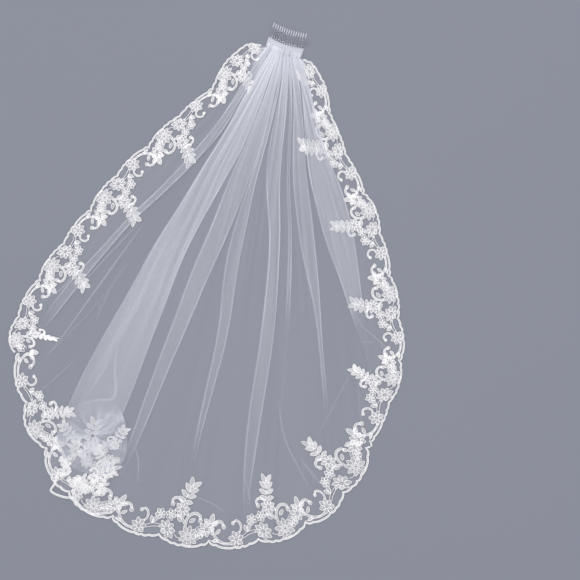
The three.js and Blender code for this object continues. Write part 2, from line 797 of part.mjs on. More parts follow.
function comb() {
  const spineRings = Array.from({ length: SPINE_STEPS + 1 }, (_, i) => {
    const centre = spineAt(-1 + (2 * i) / SPINE_STEPS);
    return Array.from({ length: SPINE_SIDES }, (__, j) => {
      const angle = (2 * Math.PI * (j + 0.5)) / SPINE_SIDES;
      return centre.clone()
        .addScaledVector(new THREE.Vector3(towardsComb.x, towardsComb.y, 0), COMB_SPINE_RADIUS * Math.cos(angle))
        .add(new THREE.Vector3(0, 0, COMB_SPINE_RADIUS * Math.sin(angle)));
    });
  });
  let solid = asManifold(outwardGeometry(loft(spineRings)));
  const along = new THREE.Vector3(headerAxis.x, headerAxis.y, 0);
  const out = new THREE.Vector3(towardsComb.x, towardsComb.y, 0);
  const rise = new THREE.Vector3(0, 0, Math.sin(TOOTH_TILT));
  const slant = out.multiplyScalar(Math.cos(TOOTH_TILT)).add(rise);
  const across = new THREE.Vector3().crossVectors(slant, along);
  for (let i = 0; i < TOOTH_COUNT; i += 1) {
    const share = (2 * (i + 0.5)) / TOOTH_COUNT - 1;
    const root = spineAt(share * 0.97);
    const rings = TOOTH_RINGS.map(({ reach, size }) => {
      const radius = lerp(TOOTH_ROOT_RADIUS, TOOTH_TIP_RADIUS, clamp(reach, 0, 1)) * size;
      const centre = root.clone().addScaledVector(slant, TOOTH_LENGTH * reach);
      return Array.from({ length: TOOTH_SIDES }, (_, j) => {
        const angle = (2 * Math.PI * j) / TOOTH_SIDES;
        return centre.clone()
          .addScaledVector(along, radius * Math.cos(angle))
          .addScaledVector(across, radius * Math.sin(angle));
      });
    });
    solid = solid.add(asManifold(outwardGeometry(loft(rings))));
  }
  return fromManifold(solid);
}

addPiece('comb', comb(), clearPlastic);
addPiece('header_binding', headerBinding(), bindingCloth);
addPiece('tulle_panel', tullePanel(), tulleCloth);
for (const side of SIDE_FOLDS) addPiece(side.node, sideFold(side), tulleCloth);
addPiece('corner_fold', cornerFold(), tulleCloth);
for (const run of LACE_RUNS) addPiece(run.name, laceStretch(run), laceThread);

export default veil;
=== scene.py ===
"""A one-tier bridal veil, laid out flat and dressed for a studio picture.

One sheet of nylon tulle is gathered into a folded binding on a clear hair comb. Its pleats are real
layers of the sheet, its small creases are pinched ridges, and its edge carries corded flower lace.
Plans and tables are in millimetres on the floor plane; each mesh is made in metres.
"""

import logging
import math
from dataclasses import dataclass, field
from enum import Enum
from typing import Any, NamedTuple, Sequence

import bpy
import numpy as np
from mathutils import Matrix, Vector


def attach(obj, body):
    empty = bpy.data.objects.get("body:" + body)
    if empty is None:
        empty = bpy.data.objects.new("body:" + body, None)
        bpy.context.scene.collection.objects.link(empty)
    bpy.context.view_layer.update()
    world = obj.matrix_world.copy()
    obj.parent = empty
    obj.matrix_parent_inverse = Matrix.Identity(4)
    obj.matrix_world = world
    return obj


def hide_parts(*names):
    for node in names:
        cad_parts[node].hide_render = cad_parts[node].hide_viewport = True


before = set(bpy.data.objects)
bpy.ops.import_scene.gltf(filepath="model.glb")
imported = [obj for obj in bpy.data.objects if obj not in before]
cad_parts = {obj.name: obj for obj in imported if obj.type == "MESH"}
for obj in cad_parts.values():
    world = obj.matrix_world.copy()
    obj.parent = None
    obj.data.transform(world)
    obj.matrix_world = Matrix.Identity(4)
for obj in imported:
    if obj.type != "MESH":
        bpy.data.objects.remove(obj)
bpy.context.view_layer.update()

MM = 0.001
log = logging.getLogger("veil")


class Spot(NamedTuple):
    """A place on the floor plane, in millimetres from the middle of the picture's frame."""

    x: float
    y: float


class Slot(str, Enum):
    """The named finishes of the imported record."""

    COMB = "comb_plastic"
    BINDING = "binding"
    TULLE = "tulle"
    LACE = "lace"


# The tables are measured from the middle of the picture's frame; this puts the origin in the middle
# of the veil's outline box.
ORIGIN = np.array([-4.7, -4.7])

# Guide line of the cloth's edge without its scallops: from the left end of the binding down the
# left side, round the hem and up the right side.
EDGE_SPOTS = [
    Spot(113, 477), Spot(77, 478), Spot(41, 449), Spot(4, 392), Spot(-55, 344), Spot(-116, 286),
    Spot(-179, 228), Spot(-236, 157), Spot(-289, 90), Spot(-344, 11), Spot(-381, -55), Spot(-396, -105),
    Spot(-387, -151), Spot(-382, -197), Spot(-371, -241), Spot(-360, -283), Spot(-337, -323),
    Spot(-321, -363), Spot(-300, -403), Spot(-268, -433), Spot(-224, -458), Spot(-148, -493),
    Spot(-48, -517), Spot(52, -523), Spot(154, -502), Spot(246, -452), Spot(305, -372), Spot(337, -295),
    Spot(375, -207), Spot(388, -131), Spot(379, -49), Spot(359, 45), Spot(331, 147), Spot(289, 233),
    Spot(248, 325), Spot(228, 403), Spot(207, 438), Spot(184, 453),
]
LEFT_CORNER = 11
RIGHT_CORNER = 29


class LaceRun(NamedTuple):
    """A stretch of lace along the edge, by distance in millimetres, and how it repeats."""

    name: str
    start: float
    end: float
    scroll: float
    repeat: float
    scallop: float


LACE_RUNS = [
    LaceRun("lace_left", 8, 832, 171, 173, 0.55),
    LaceRun("lace_hem", 832, 1858, 858, 204, 1.0),
    LaceRun("lace_right", 1858, 2688, 1889, 174, 0.55),
]


class Reach(NamedTuple):
    """How deep the flower sprays reach in from the edge at a distance along it."""

    along: float
    depth: float


LACE_REACH = [
    Reach(0, 34), Reach(60, 56), Reach(110, 58), Reach(170, 80), Reach(320, 98), Reach(1150, 98),
    Reach(1285, 134), Reach(1820, 134), Reach(2025, 100), Reach(2425, 96), Reach(2545, 76),
    Reach(2635, 38), Reach(2697, 14),
]


def linear(code: str) -> tuple[float, float, float, float]:
    """Turns an sRGB hex colour into linear light.

    Args:
        code: The colour as #RRGGBB.

    Returns:
        Red, green, blue and an alpha of one.
    """
    parts = [int(code[i : i + 2], 16) / 255 for i in (1, 3, 5)]
    red, green, blue = (c / 12.92 if c <= 0.04045 else ((c + 0.055) / 1.055) ** 2.4 for c in parts)
    return red, green, blue, 1.0


def smooth(x: Any, low: Any, high: Any) -> Any:
    """Rises smoothly from 0 at low to 1 at high."""
    share = np.clip((np.asarray(x, float) - low) / (np.asarray(high, float) - low), 0, 1)
    return share * share * (3 - 2 * share)


def soft_line(spots: Sequence[Sequence[float]], per_span: int, closed: bool = False) -> np.ndarray:
    """Draws a centripetal Catmull-Rom line through spots.

    Args:
        spots: The points that it passes through.
        per_span: Steps between one point and the next.
        closed: Whether the line comes back to its start.

    Returns:
        The line's points, one row each.
    """
    p = np.array(spots, float)
    if closed:
        p = np.vstack([p[-1], p, p[0], p[1]])
    else:
        p = np.vstack([2 * p[0] - p[1], p, 2 * p[-1] - p[-2]])
    share = np.arange(per_span)[:, None] / per_span
    spans = []
    for a, b, c, d in zip(p, p[1:], p[2:], p[3:]):
        t0 = 0.0
        t1 = t0 + math.sqrt(np.linalg.norm(b - a))
        t2 = t1 + math.sqrt(np.linalg.norm(c - b))
        t3 = t2 + math.sqrt(np.linalg.norm(d - c))
        t = t1 + (t2 - t1) * share
        ab = ((t1 - t) * a + (t - t0) * b) / (t1 - t0)
        bc = ((t2 - t) * b + (t - t1) * c) / (t2 - t1)
        cd = ((t3 - t) * c + (t - t2) * d) / (t3 - t2)
        abc = ((t2 - t) * ab + (t - t0) * bc) / (t2 - t0)
        bcd = ((t3 - t) * bc + (t - t1) * cd) / (t3 - t1)
        spans.append(((t2 - t) * abc + (t - t1) * bcd) / (t2 - t1))
    if not closed:
        spans.append(p[-2:-1])
    return np.vstack(spans)


def sideways(line: np.ndarray) -> np.ndarray:
    """The direction to the left of a flat line at each of its points."""
    run = np.gradient(line, axis=0)
    run /= np.linalg.norm(run, axis=1, keepdims=True)
    return np.stack([-run[:, 1], run[:, 0]], -1)


def heading(angle: float) -> np.ndarray:
    """The flat direction at an angle in radians."""
    return np.array([math.cos(angle), math.sin(angle)])


def with_height(flat: np.ndarray, height: Any) -> np.ndarray:
    """Puts a height, one number or one for each, to points on the floor plane."""
    up = np.broadcast_to(height, flat.shape[:-1])[..., None]
    return np.concatenate([flat, up], -1)


def evenly(line: np.ndarray, step: float) -> np.ndarray:
    """Places points on a line at about equal steps, its two ends among them."""
    reach = np.r_[0, np.cumsum(np.linalg.norm(np.diff(line, axis=0), axis=1))]
    count = max(int(round(reach[-1] / step)), 2)
    at = np.linspace(0, reach[-1], count + 1)
    return np.stack([np.interp(at, reach, line[:, k]) for k in range(line.shape[1])], -1)


class Swell(NamedTuple):
    """A slow wave of the laid cloth: radians for each metre across and up, and its start."""

    across: float
    up: float
    start: float


SWELLS = [Swell(13, 5, 0.4), Swell(7, -16, 1.9), Swell(25, 21, 0.0)]


@dataclass
class VeilPlan:
    """The lines that the whole veil hangs on: its edge, its header and the sheet between them."""

    header_sag: float = 5.0
    normal_reach: float = 35.0
    scallop_rise: float = 7.0
    scallop_cusp: float = -9.0
    scallop_follow: float = 50.0
    lobe_phase: float = -0.13
    straight_to: float = 0.26
    shallow_lobe: float = 0.7
    steps_per_spot: int = 40
    search_points: int = 536
    search_chunk: int = 8000
    swell: float = 0.12
    least_swell: float = 0.35
    # Distances from the header over which the cusps and the lobes grow to their full size.
    cusp_span: tuple[float, float] = (60, 300)
    rise_span: tuple[float, float] = (0, 30)
    # Between these shares of the width the gathers leave the binding straight.
    straight_span: tuple[float, float] = (0.07, 0.93)

    def __post_init__(self) -> None:
        """Draws the edge line and measures it."""
        self.line = soft_line(EDGE_SPOTS, self.steps_per_spot) - ORIGIN
        steps = np.linalg.norm(np.diff(self.line, axis=0), axis=1)
        self.reach = np.r_[0, np.cumsum(steps)]
        self.length = float(self.reach[-1])
        self.left_length = float(self.reach[LEFT_CORNER * self.steps_per_spot])
        self.right_start = float(self.reach[RIGHT_CORNER * self.steps_per_spot])
        self.header_start = self.line[0]
        self.header_run = self.line[-1] - self.line[0]
        self.across = self.header_run / np.linalg.norm(self.header_run)
        self.to_comb = np.array([-self.across[1], self.across[0]])

    def edge(self, along: Any) -> np.ndarray:
        """The edge line's point at a distance along it."""
        x = np.interp(along, self.reach, self.line[:, 0])
        return np.stack([x, np.interp(along, self.reach, self.line[:, 1])], -1)

    def inward(self, along: Any) -> np.ndarray:
        """The direction into the cloth at a distance along the edge."""
        low = np.maximum(np.asarray(along, float) - self.normal_reach, 0)
        high = np.minimum(np.asarray(along, float) + self.normal_reach, self.length)
        run = self.edge(high) - self.edge(low)
        run /= np.linalg.norm(run, axis=-1, keepdims=True)
        return np.stack([-run[..., 1], run[..., 0]], -1)

    def from_edge(self, along: Any, depth: Any) -> np.ndarray:
        """The point at a depth inward from a place of the edge."""
        return self.edge(along) + self.inward(along) * np.asarray(depth)[..., None]

    def header(self, u: Any, back: Any = 0.0) -> np.ndarray:
        """A point of the header line, u from 0 left to 1 right, moved back towards the comb."""
        u = np.asarray(u, float)
        sag = np.asarray(back) - self.header_sag * 4 * u * (1 - u)
        return self.header_start + u[..., None] * self.header_run + sag[..., None] * self.to_comb

    def sheet(self, u: Any, t: Any) -> np.ndarray:
        """A point of the sheet between header, sides and hem: u across, t from header to hem."""
        u, t = np.broadcast_arrays(np.asarray(u, float), np.asarray(t, float))
        hem = self.edge(self.left_length + (self.right_start - self.left_length) * u)
        left = self.edge(self.left_length * t)
        right = self.edge(self.length - (self.length - self.right_start) * t)
        a, b = u[..., None], t[..., None]
        near = (1 - a) * self.line[0] + a * self.line[-1]
        far = (1 - a) * self.edge(self.left_length) + a * self.edge(self.right_start)
        return (
            (1 - b) * self.header(u) + b * hem + (1 - a) * left + a * right
            - (1 - b) * near - b * far
        )

    def drape(self, u: np.ndarray, t: np.ndarray) -> np.ndarray:
        """A point of the sheet whose gathers leave the binding straight, like pulled cloth."""
        patch = self.sheet(u, t)
        end, step = self.straight_to, 1e-3
        far = self.sheet(u, end)
        turn = far - (self.sheet(u, end + step) - far) / step * end / 2
        s = np.clip(t / end, 0, 1)[..., None]
        line = (1 - s) ** 2 * self.header(u) + 2 * s * (1 - s) * turn + s * s * far
        left, right = self.straight_span
        share = (smooth(u, 0, left) * (1 - smooth(u, right, 1)))[..., None]
        return np.where(s < 1, patch + (line - patch) * share, patch)

    def scallop(self, along: Any) -> np.ndarray:
        """How far the scallops take the edge out from its guide line."""
        w = np.asarray(along, float)
        pick = np.clip(np.searchsorted([run.end for run in LACE_RUNS], w, "right"), 0, len(LACE_RUNS) - 1)
        rows = np.array([(run.scroll, run.repeat, run.scallop) for run in LACE_RUNS])[pick]
        scroll, repeat, share = rows[..., 0], rows[..., 1], rows[..., 2]
        phase = np.mod((w - scroll) / repeat - self.lobe_phase, 1)
        shallow = phase < 0.5
        swell = np.sqrt(np.sin(np.pi * np.mod(phase * 2, 1)))
        from_end = np.minimum(w, self.length - w)
        cusp = self.scallop_cusp * smooth(from_end, *self.cusp_span)
        lobe = np.where(shallow, self.shallow_lobe, 1.0)
        rise = self.scallop_rise * smooth(from_end, *self.rise_span) * lobe
        return share * (cusp + (rise - cusp) * swell)

    def lace_reach(self, along: Any) -> np.ndarray:
        """How deep the lace goes in from the edge."""
        return np.interp(along, [r.along for r in LACE_REACH], [r.depth for r in LACE_REACH])

    def nearest(self, points: np.ndarray) -> tuple[np.ndarray, np.ndarray]:
        """Finds the nearest place of the edge.

        Args:
            points: Points on the floor plane, one row each.

        Returns:
            Each one's distance along the edge and its depth in from it.
        """
        at = np.linspace(0, self.length, self.search_points)
        spots = self.edge(at)
        along, depth = [], []
        for i in range(0, len(points), self.search_chunk):
            part = points[i : i + self.search_chunk]
            far = ((part[:, None] - spots[None]) ** 2).sum(-1)
            along.append(at[far.argmin(1)])
            depth.append(np.sqrt(far.min(1)))
        return np.concatenate(along), np.concatenate(depth)

    def billow(self, points: np.ndarray) -> np.ndarray:
        """How high the laid cloth stands off the floor in its slow, low swells."""
        x, y = points[..., 0] / 1000, points[..., 1] / 1000
        waves = sum(np.sin(row.across * x + row.up * y + row.start) for row in SWELLS)
        return self.least_swell + self.swell * (len(SWELLS) + waves) / 2


class MeshMaker:
    """Gathers the faces of one piece, their texture places and a number of plies at each point."""

    def __init__(self) -> None:
        """Starts empty."""
        self.points: list[np.ndarray] = []
        self.quads: list[np.ndarray] = []
        self.places: list[np.ndarray] = []
        self.plies: list[np.ndarray] = []
        self.count = 0

    def grid(self, points: np.ndarray, places: np.ndarray, plies: Any = 1.0, round_it: bool = False) -> None:
        """Adds a grid of points.

        Args:
            points: Rows by columns by three, in millimetres.
            places: Texture places, rows by columns (one more column where it closes round) by two.
            plies: Layers of cloth that each point stands for.
            round_it: Whether the last column joins the first.
        """
        rows, columns = points.shape[:2]
        index = np.arange(rows * columns).reshape(rows, columns)
        if round_it:
            index = np.concatenate([index, index[:, :1]], 1)
        corners, spots = (
            np.stack([grid[:-1, :-1], grid[:-1, 1:], grid[1:, 1:], grid[1:, :-1]], 2)
            for grid in (index, places)
        )
        self.points.append(points.reshape(-1, 3))
        self.quads.append(corners.reshape(-1, 4) + self.count)
        self.places.append(spots.reshape(-1, 4, 2))
        self.plies.append(np.broadcast_to(plies, points.shape[:2]).reshape(-1))
        self.count += rows * columns

    def cord(
        self, line: np.ndarray, radius: Any, sides: int = 5, closed: bool = False, share: Any = 1.0
    ) -> None:
        """Adds a round cord along a line.

        Args:
            line: The cord's middle, one row of three for each point.
            radius: Its radius, one number or one for each point.
            sides: Faces round it.
            closed: Whether it comes back to its start.
            share: A value that each point carries in place of plies.
        """
        if closed:
            ahead = np.roll(line, -1, 0) - np.roll(line, 1, 0)
        else:
            ahead = np.gradient(line, axis=0)
        ahead /= np.maximum(np.linalg.norm(ahead, axis=1, keepdims=True), 1e-9)
        aside = np.cross(ahead, [0, 0, 1.0])
        aside /= np.maximum(np.linalg.norm(aside, axis=1, keepdims=True), 1e-9)
        above = np.cross(aside, ahead)
        turn = 2 * np.pi * (np.arange(sides) + 0.5) / sides
        size = np.broadcast_to(radius, len(line))[:, None, None]
        ring = np.cos(turn)[None, :, None] * aside[:, None] + np.sin(turn)[None, :, None] * above[:, None]
        body = line[:, None] + ring * size
        step = np.linalg.norm(np.diff(line, axis=0), axis=1)
        reach = np.r_[0, np.cumsum(step)]
        if closed:
            body = np.concatenate([body, body[:1]])
            reach = np.r_[reach, reach[-1] + np.linalg.norm(line[0] - line[-1])]
        around = np.arange(sides + 1) / sides
        places = np.stack(np.broadcast_arrays(reach[:, None], around[None]), -1)
        self.grid(body, places, np.broadcast_to(share, len(body))[:, None], round_it=True)

    def piece(self, name: str, material: bpy.types.Material) -> bpy.types.Object:
        """Makes the gathered faces into one object, in metres.

        Args:
            name: The piece's name.
            material: Its finish.

        Returns:
            The object, riding on the veil's body.
        """
        points = np.concatenate(self.points) * MM
        quads = np.concatenate(self.quads)
        mesh = bpy.data.meshes.new(name)
        mesh.vertices.add(len(points))
        mesh.vertices.foreach_set("co", points.astype(np.float32).ravel())
        mesh.loops.add(quads.size)
        mesh.loops.foreach_set("vertex_index", quads.astype(np.int32).ravel())
        mesh.polygons.add(len(quads))
        mesh.polygons.foreach_set("loop_start", np.arange(0, quads.size, 4, dtype=np.int32))
        mesh.update(calc_edges=True)
        mesh.polygons.foreach_set("use_smooth", np.ones(len(quads), bool))
        texture = mesh.uv_layers.new(name="UVMap")
        texture.data.foreach_set("uv", np.concatenate(self.places).astype(np.float32).ravel())
        layers = mesh.attributes.new("plies", "FLOAT", "POINT")
        layers.data.foreach_set("value", np.concatenate(self.plies).astype(np.float32))
        mesh.materials.append(material)
        mesh.validate()
        made = bpy.data.objects.new(name, mesh)
        bpy.context.scene.collection.objects.link(made)
        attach(made, "root")
        log.info("%s: %d faces", name, len(quads))
        return made


def connect(tree: bpy.types.NodeTree, node: bpy.types.Node, links: dict[Any, Any]) -> None:
    """Gives a node's inputs, by name or number, another node's output or a value of their own."""
    for key, value in links.items():
        if isinstance(value, bpy.types.NodeSocket):
            tree.links.new(value, node.inputs[key])
        else:
            node.inputs[key].default_value = value


def add_node(tree: bpy.types.NodeTree, kind: str, links: dict[Any, Any], **settings: Any) -> bpy.types.Node:
    """Adds a node with its settings and links.

    Args:
        tree: The material's node tree.
        kind: The node's type name.
        links: What each input socket gets, by name or number: another socket, or a value.
        **settings: The node's own properties.

    Returns:
        The node.
    """
    made = tree.nodes.new(kind)
    for key, value in settings.items():
        setattr(made, key, value)
    connect(tree, made, links)
    return made


def new_material(name: str) -> tuple[bpy.types.Material, bpy.types.NodeTree, bpy.types.Node]:
    """Starts a material with a principled shader.

    Args:
        name: The stuff's name.

    Returns:
        The material, its node tree and its shader node.
    """
    material = bpy.data.materials.new(name)
    material.use_nodes = True
    tree = material.node_tree
    return material, tree, tree.nodes["Principled BSDF"]


@dataclass(frozen=True)
class NylonTulle:
    """Fine hexagonal nylon net: each layer hides a little of what is under it.

    Where layers or gathers lie on each other they hide more, so the mesh carries a number of plies
    at each point, and streaks of finer gathers run from the comb to the hem.
    """

    name: str = "nylon_tulle"
    thread: str = "#E1E2E9"
    shade: str = "#CFD2DD"
    # How much one ply hides.
    cover: float = 0.115
    # Gathers across and along the sheet, and how far each kind takes the plies up and down.
    streaks: tuple[float, float] = (46.0, 1.6)
    streak: float = 0.55
    fine_streaks: tuple[float, float] = (190.0, 3.2)
    fine_streak: float = 0.35
    top_streak: float = 1.5
    hem_streak: float = 0.3
    # A real hole is about 1.2 mm; it is drawn at 2 mm so that the net shows in a close picture.
    hole: float = 2.0
    net_depth: float = 0.25

    def gathers(
        self, tree: bpy.types.NodeTree, place: bpy.types.NodeSocket, scale: tuple[float, float],
        detail: float, swing: float,
    ) -> tuple[bpy.types.NodeSocket, bpy.types.NodeSocket]:
        """Draws one kind of gathers.

        Args:
            tree: The material's node tree.
            place: The texture place.
            scale: How many gathers lie across and along the sheet.
            detail: How many finer ones are laid over them.
            swing: How far they take the plies up and down.

        Returns:
            The plain noise, and the factor for the plies.
        """
        stretch = add_node(tree, "ShaderNodeMapping", {"Vector": place, "Scale": (*scale, 1.0)})
        noise = add_node(
            tree, "ShaderNodeTexNoise",
            {"Vector": stretch.outputs[0], "Scale": 1.0, "Detail": detail, "Roughness": 0.5},
        )
        factor = add_node(tree, "ShaderNodeMapRange", {
            "Value": noise.outputs[0], "From Min": 0.3, "From Max": 0.7,
            "To Min": 1 - swing, "To Max": 1 + swing,
        })
        return noise.outputs[0], factor.outputs[0]

    def make(self) -> bpy.types.Material:
        """Builds the material."""
        material, tree, shader = new_material(self.name)
        uv = add_node(tree, "ShaderNodeTexCoord", {})
        plies = add_node(tree, "ShaderNodeAttribute", {}, attribute_name="plies")
        cloudy, streak = self.gathers(tree, uv.outputs["UV"], self.streaks, 2.0, self.streak)
        _, small = self.gathers(tree, uv.outputs["UV"], self.fine_streaks, 1.0, self.fine_streak)
        folds = add_node(tree, "ShaderNodeMath", {0: streak, 1: small}, operation="MULTIPLY")
        place = add_node(tree, "ShaderNodeSeparateXYZ", {0: uv.outputs["UV"]})
        calm = add_node(tree, "ShaderNodeMapRange", {
            "Value": place.outputs["Y"], "From Min": 0.1, "From Max": 0.7,
            "To Min": self.top_streak, "To Max": self.hem_streak,
        })
        eased = add_node(
            tree, "ShaderNodeMix", {"Factor": calm.outputs[0], "A": 1.0, "B": folds.outputs[0]},
            data_type="FLOAT", clamp_factor=False,
        )
        count = add_node(
            tree, "ShaderNodeMath", {0: plies.outputs["Fac"], 1: eased.outputs["Result"]},
            operation="MULTIPLY",
        )
        through = add_node(
            tree, "ShaderNodeMath", {0: 1 - self.cover, 1: count.outputs[0]}, operation="POWER"
        )
        cover = add_node(tree, "ShaderNodeMath", {0: 1.0, 1: through.outputs[0]}, operation="SUBTRACT")
        net = add_node(
            tree, "ShaderNodeTexVoronoi",
            {"Vector": uv.outputs["Object"], "Scale": 1 / (self.hole * MM), "Randomness": 0.25},
            feature="DISTANCE_TO_EDGE",
        )
        hole = add_node(tree, "ShaderNodeMapRange", {
            "Value": net.outputs[0], "From Min": 0.0, "From Max": 0.4,
            "To Min": 1 + self.net_depth, "To Max": 1 - self.net_depth,
        })
        alpha = add_node(
            tree, "ShaderNodeMath", {0: cover.outputs[0], 1: hole.outputs[0]},
            operation="MULTIPLY", use_clamp=True,
        )
        tint = add_node(
            tree, "ShaderNodeMix", {"Factor": cloudy, "A": linear(self.shade), "B": linear(self.thread)},
            data_type="RGBA",
        )
        relief = add_node(
            tree, "ShaderNodeBump", {"Strength": 0.35, "Distance": 0.0006, "Height": folds.outputs[0]}
        )
        connect(tree, shader, {
            "Base Color": tint.outputs["Result"], "Alpha": alpha.outputs[0],
            "Normal": relief.outputs[0], "Roughness": 0.5, "IOR": 1.53, "Specular IOR Level": 0.35,
        })
        return material


@dataclass(frozen=True)
class CordedLace:
    """Cotton and rayon thread, machine stitched: matt, with a faint twist and a soft sheen."""

    name: str = "corded_lace_thread"
    light: str = "#FCFBFA"
    dull: str = "#ECEBEE"
    # Thread twist of about 0.8 mm a turn.
    twist: float = 0.8

    def make(self) -> bpy.types.Material:
        """Builds the material."""
        material, tree, shader = new_material(self.name)
        uv = add_node(tree, "ShaderNodeTexCoord", {})
        turn = add_node(
            tree, "ShaderNodeMapping", {"Vector": uv.outputs["UV"], "Scale": (1 / self.twist, 1.0, 1.0)}
        )
        twist = add_node(
            tree, "ShaderNodeTexWave", {"Vector": turn.outputs[0], "Scale": 0.32, "Distortion": 0.6},
            wave_type="BANDS", bands_direction="DIAGONAL",
        )
        cloudy = add_node(
            tree, "ShaderNodeTexNoise", {"Vector": uv.outputs["Object"], "Scale": 90.0, "Detail": 3.0}
        )
        tint = add_node(
            tree, "ShaderNodeMix",
            {"Factor": cloudy.outputs[0], "A": linear(self.dull), "B": linear(self.light)},
            data_type="RGBA",
        )
        relief = add_node(
            tree, "ShaderNodeBump", {"Strength": 0.5, "Distance": 0.0002, "Height": twist.outputs[0]}
        )
        connect(tree, shader, {
            "Base Color": tint.outputs["Result"], "Normal": relief.outputs[0], "Roughness": 0.62,
            "IOR": 1.5, "Sheen Weight": 0.2, "Sheen Roughness": 0.4,
        })
        return material


@dataclass(frozen=True)
class BoundTulle:
    """Tulle rolled over itself several times: milky and almost opaque, with the edges of its turns
    as fine lines along it."""

    name: str = "rolled_tulle_binding"
    light: str = "#C7C8D0"
    shade: str = "#B8BBC5"

    def make(self) -> bpy.types.Material:
        """Builds the material."""
        material, tree, shader = new_material(self.name)
        uv = add_node(tree, "ShaderNodeTexCoord", {})
        stretch = add_node(
            tree, "ShaderNodeMapping", {"Vector": uv.outputs["UV"], "Scale": (3.0, 26.0, 1.0)}
        )
        turns = add_node(
            tree, "ShaderNodeTexNoise",
            {"Vector": stretch.outputs[0], "Scale": 1.0, "Detail": 3.0, "Distortion": 0.3},
        )
        tint = add_node(
            tree, "ShaderNodeMix",
            {"Factor": turns.outputs[0], "A": linear(self.shade), "B": linear(self.light)},
            data_type="RGBA",
        )
        alpha = add_node(tree, "ShaderNodeMapRange", {
            "Value": turns.outputs[0], "From Min": 0.3, "From Max": 0.7, "To Min": 0.84, "To Max": 0.97,
        })
        relief = add_node(
            tree, "ShaderNodeBump", {"Strength": 0.6, "Distance": 0.0007, "Height": turns.outputs[0]}
        )
        connect(tree, shader, {
            "Base Color": tint.outputs["Result"], "Alpha": alpha.outputs[0],
            "Normal": relief.outputs[0], "Roughness": 0.5,
        })
        return material


@dataclass(frozen=True)
class ClearPlastic:
    """Injection moulded clear styrene: see-through and glossy, with light caught on round edges."""

    name: str = "clear_moulded_styrene"
    tint: str = "#E4E9F0"
    # Painted highlight: the whiter colour given to the outer stretch of each tooth.
    tip_highlight_tint: str = "#F4F6FA"
    clearness: float = 0.95
    # Thin plastic lets most light straight through; the rest is bent by its round faces.
    straight: float = 0.55

    def make(self) -> bpy.types.Material:
        """Builds the material, with a painted highlight: the plies along a tooth make its outer stretch
        whiter and less clear.
        """
        material, tree, shader = new_material(self.name)
        along = add_node(tree, "ShaderNodeAttribute", {}, attribute_name="plies")
        place = add_node(tree, "ShaderNodeTexCoord", {})
        flow = add_node(
            tree, "ShaderNodeTexNoise", {"Vector": place.outputs["Object"], "Scale": 260.0, "Detail": 2.0}
        )
        # Painted highlight on the teeth: towards the tips they turn whiter, less clear and more opaque.
        painted_tip_highlight = add_node(
            tree, "ShaderNodeMapRange", {"Value": along.outputs["Fac"], "From Min": 0.55, "From Max": 0.8}
        )
        tint = add_node(
            tree, "ShaderNodeMix",
            {"Factor": painted_tip_highlight.outputs[0], "A": linear(self.tint), "B": linear(self.tip_highlight_tint)},
            data_type="RGBA",
        )
        clear, alpha, rough = (
            add_node(tree, "ShaderNodeMapRange", {"Value": value, "To Min": low, "To Max": high})
            for value, low, high in (
                (painted_tip_highlight.outputs[0], self.clearness, 0.1),
                (painted_tip_highlight.outputs[0], 1 - self.straight, 0.95),
                (flow.outputs[0], 0.08, 0.2),
            )
        )
        relief = add_node(
            tree, "ShaderNodeBump", {"Strength": 0.05, "Distance": 0.0003, "Height": flow.outputs[0]}
        )
        connect(tree, shader, {
            "Base Color": tint.outputs["Result"], "Transmission Weight": clear.outputs[0],
            "Alpha": alpha.outputs[0], "Roughness": rough.outputs[0], "Normal": relief.outputs[0],
            "IOR": 1.45,
        })
        return material


@dataclass(frozen=True)
class MattPaper:
    """A plain matt paper floor, very slightly clouded."""

    name: str = "matt_paper"
    light: str = "#80838D"
    dark: str = "#7E818B"

    def make(self) -> bpy.types.Material:
        """Builds the material."""
        material, tree, shader = new_material(self.name)
        place = add_node(tree, "ShaderNodeTexCoord", {})
        cloud = add_node(tree, "ShaderNodeTexNoise", {"Vector": place.outputs["Object"], "Scale": 1.4})
        tint = add_node(
            tree, "ShaderNodeMix",
            {"Factor": cloud.outputs[0], "A": linear(self.dark), "B": linear(self.light)},
            data_type="RGBA",
        )
        connect(tree, shader, {
            "Base Color": tint.outputs["Result"], "Roughness": 0.9, "Specular IOR Level": 0.15,
        })
        return material


class Fold(NamedTuple):
    """A pleat that fans out from the comb.

    left and right are its edges across the sheet at FOLD_PLACES; shows is where it ends; plies is
    how many layers each of its three turns stands for; ridges is the gathers that run into it.
    """

    name: str
    ridges: int
    plies: float
    shows: float
    left: tuple[float, ...]
    right: tuple[float, ...]


FOLD_PLACES = (0.0, 0.2, 0.4, 0.6, 0.8, 1.0)
FOLDS = [
    Fold("side left", 2, 0.85, 0.86,
         (0.10, 0.180, 0.150, 0.103, 0.072, 0.060), (0.17, 0.235, 0.172, 0.121, 0.094, 0.061)),
    Fold("broad", 4, 1.9, 0.92,
         (0.185, 0.250, 0.244, 0.230, 0.217, 0.215), (0.38, 0.380, 0.334, 0.325, 0.322, 0.290)),
    Fold("middle left", 2, 1.0, 0.9,
         (0.40, 0.385, 0.370, 0.357, 0.351, 0.345), (0.49, 0.475, 0.430, 0.391, 0.369, 0.346)),
    Fold("middle short", 1, 0.8, 0.86,
         (0.51, 0.478, 0.446, 0.463, 0.463, 0.464), (0.54, 0.498, 0.485, 0.486, 0.472, 0.465)),
    Fold("middle", 2, 0.9, 0.95,
         (0.56, 0.520, 0.569, 0.563, 0.556, 0.566), (0.64, 0.597, 0.605, 0.594, 0.578, 0.567)),
    Fold("thin", 1, 0.8, 0.6,
         (0.66, 0.630, 0.634, 0.620, 0.616, 0.617), (0.69, 0.645, 0.645, 0.630, 0.620, 0.618)),
    Fold("middle right", 2, 0.9, 0.8,
         (0.71, 0.660, 0.672, 0.701, 0.712, 0.715), (0.80, 0.735, 0.726, 0.714, 0.720, 0.716)),
    Fold("side right", 2, 1.25, 0.72,
         (0.83, 0.745, 0.760, 0.800, 0.850, 0.860), (0.93, 0.870, 0.897, 0.870, 0.862, 0.861)),
]


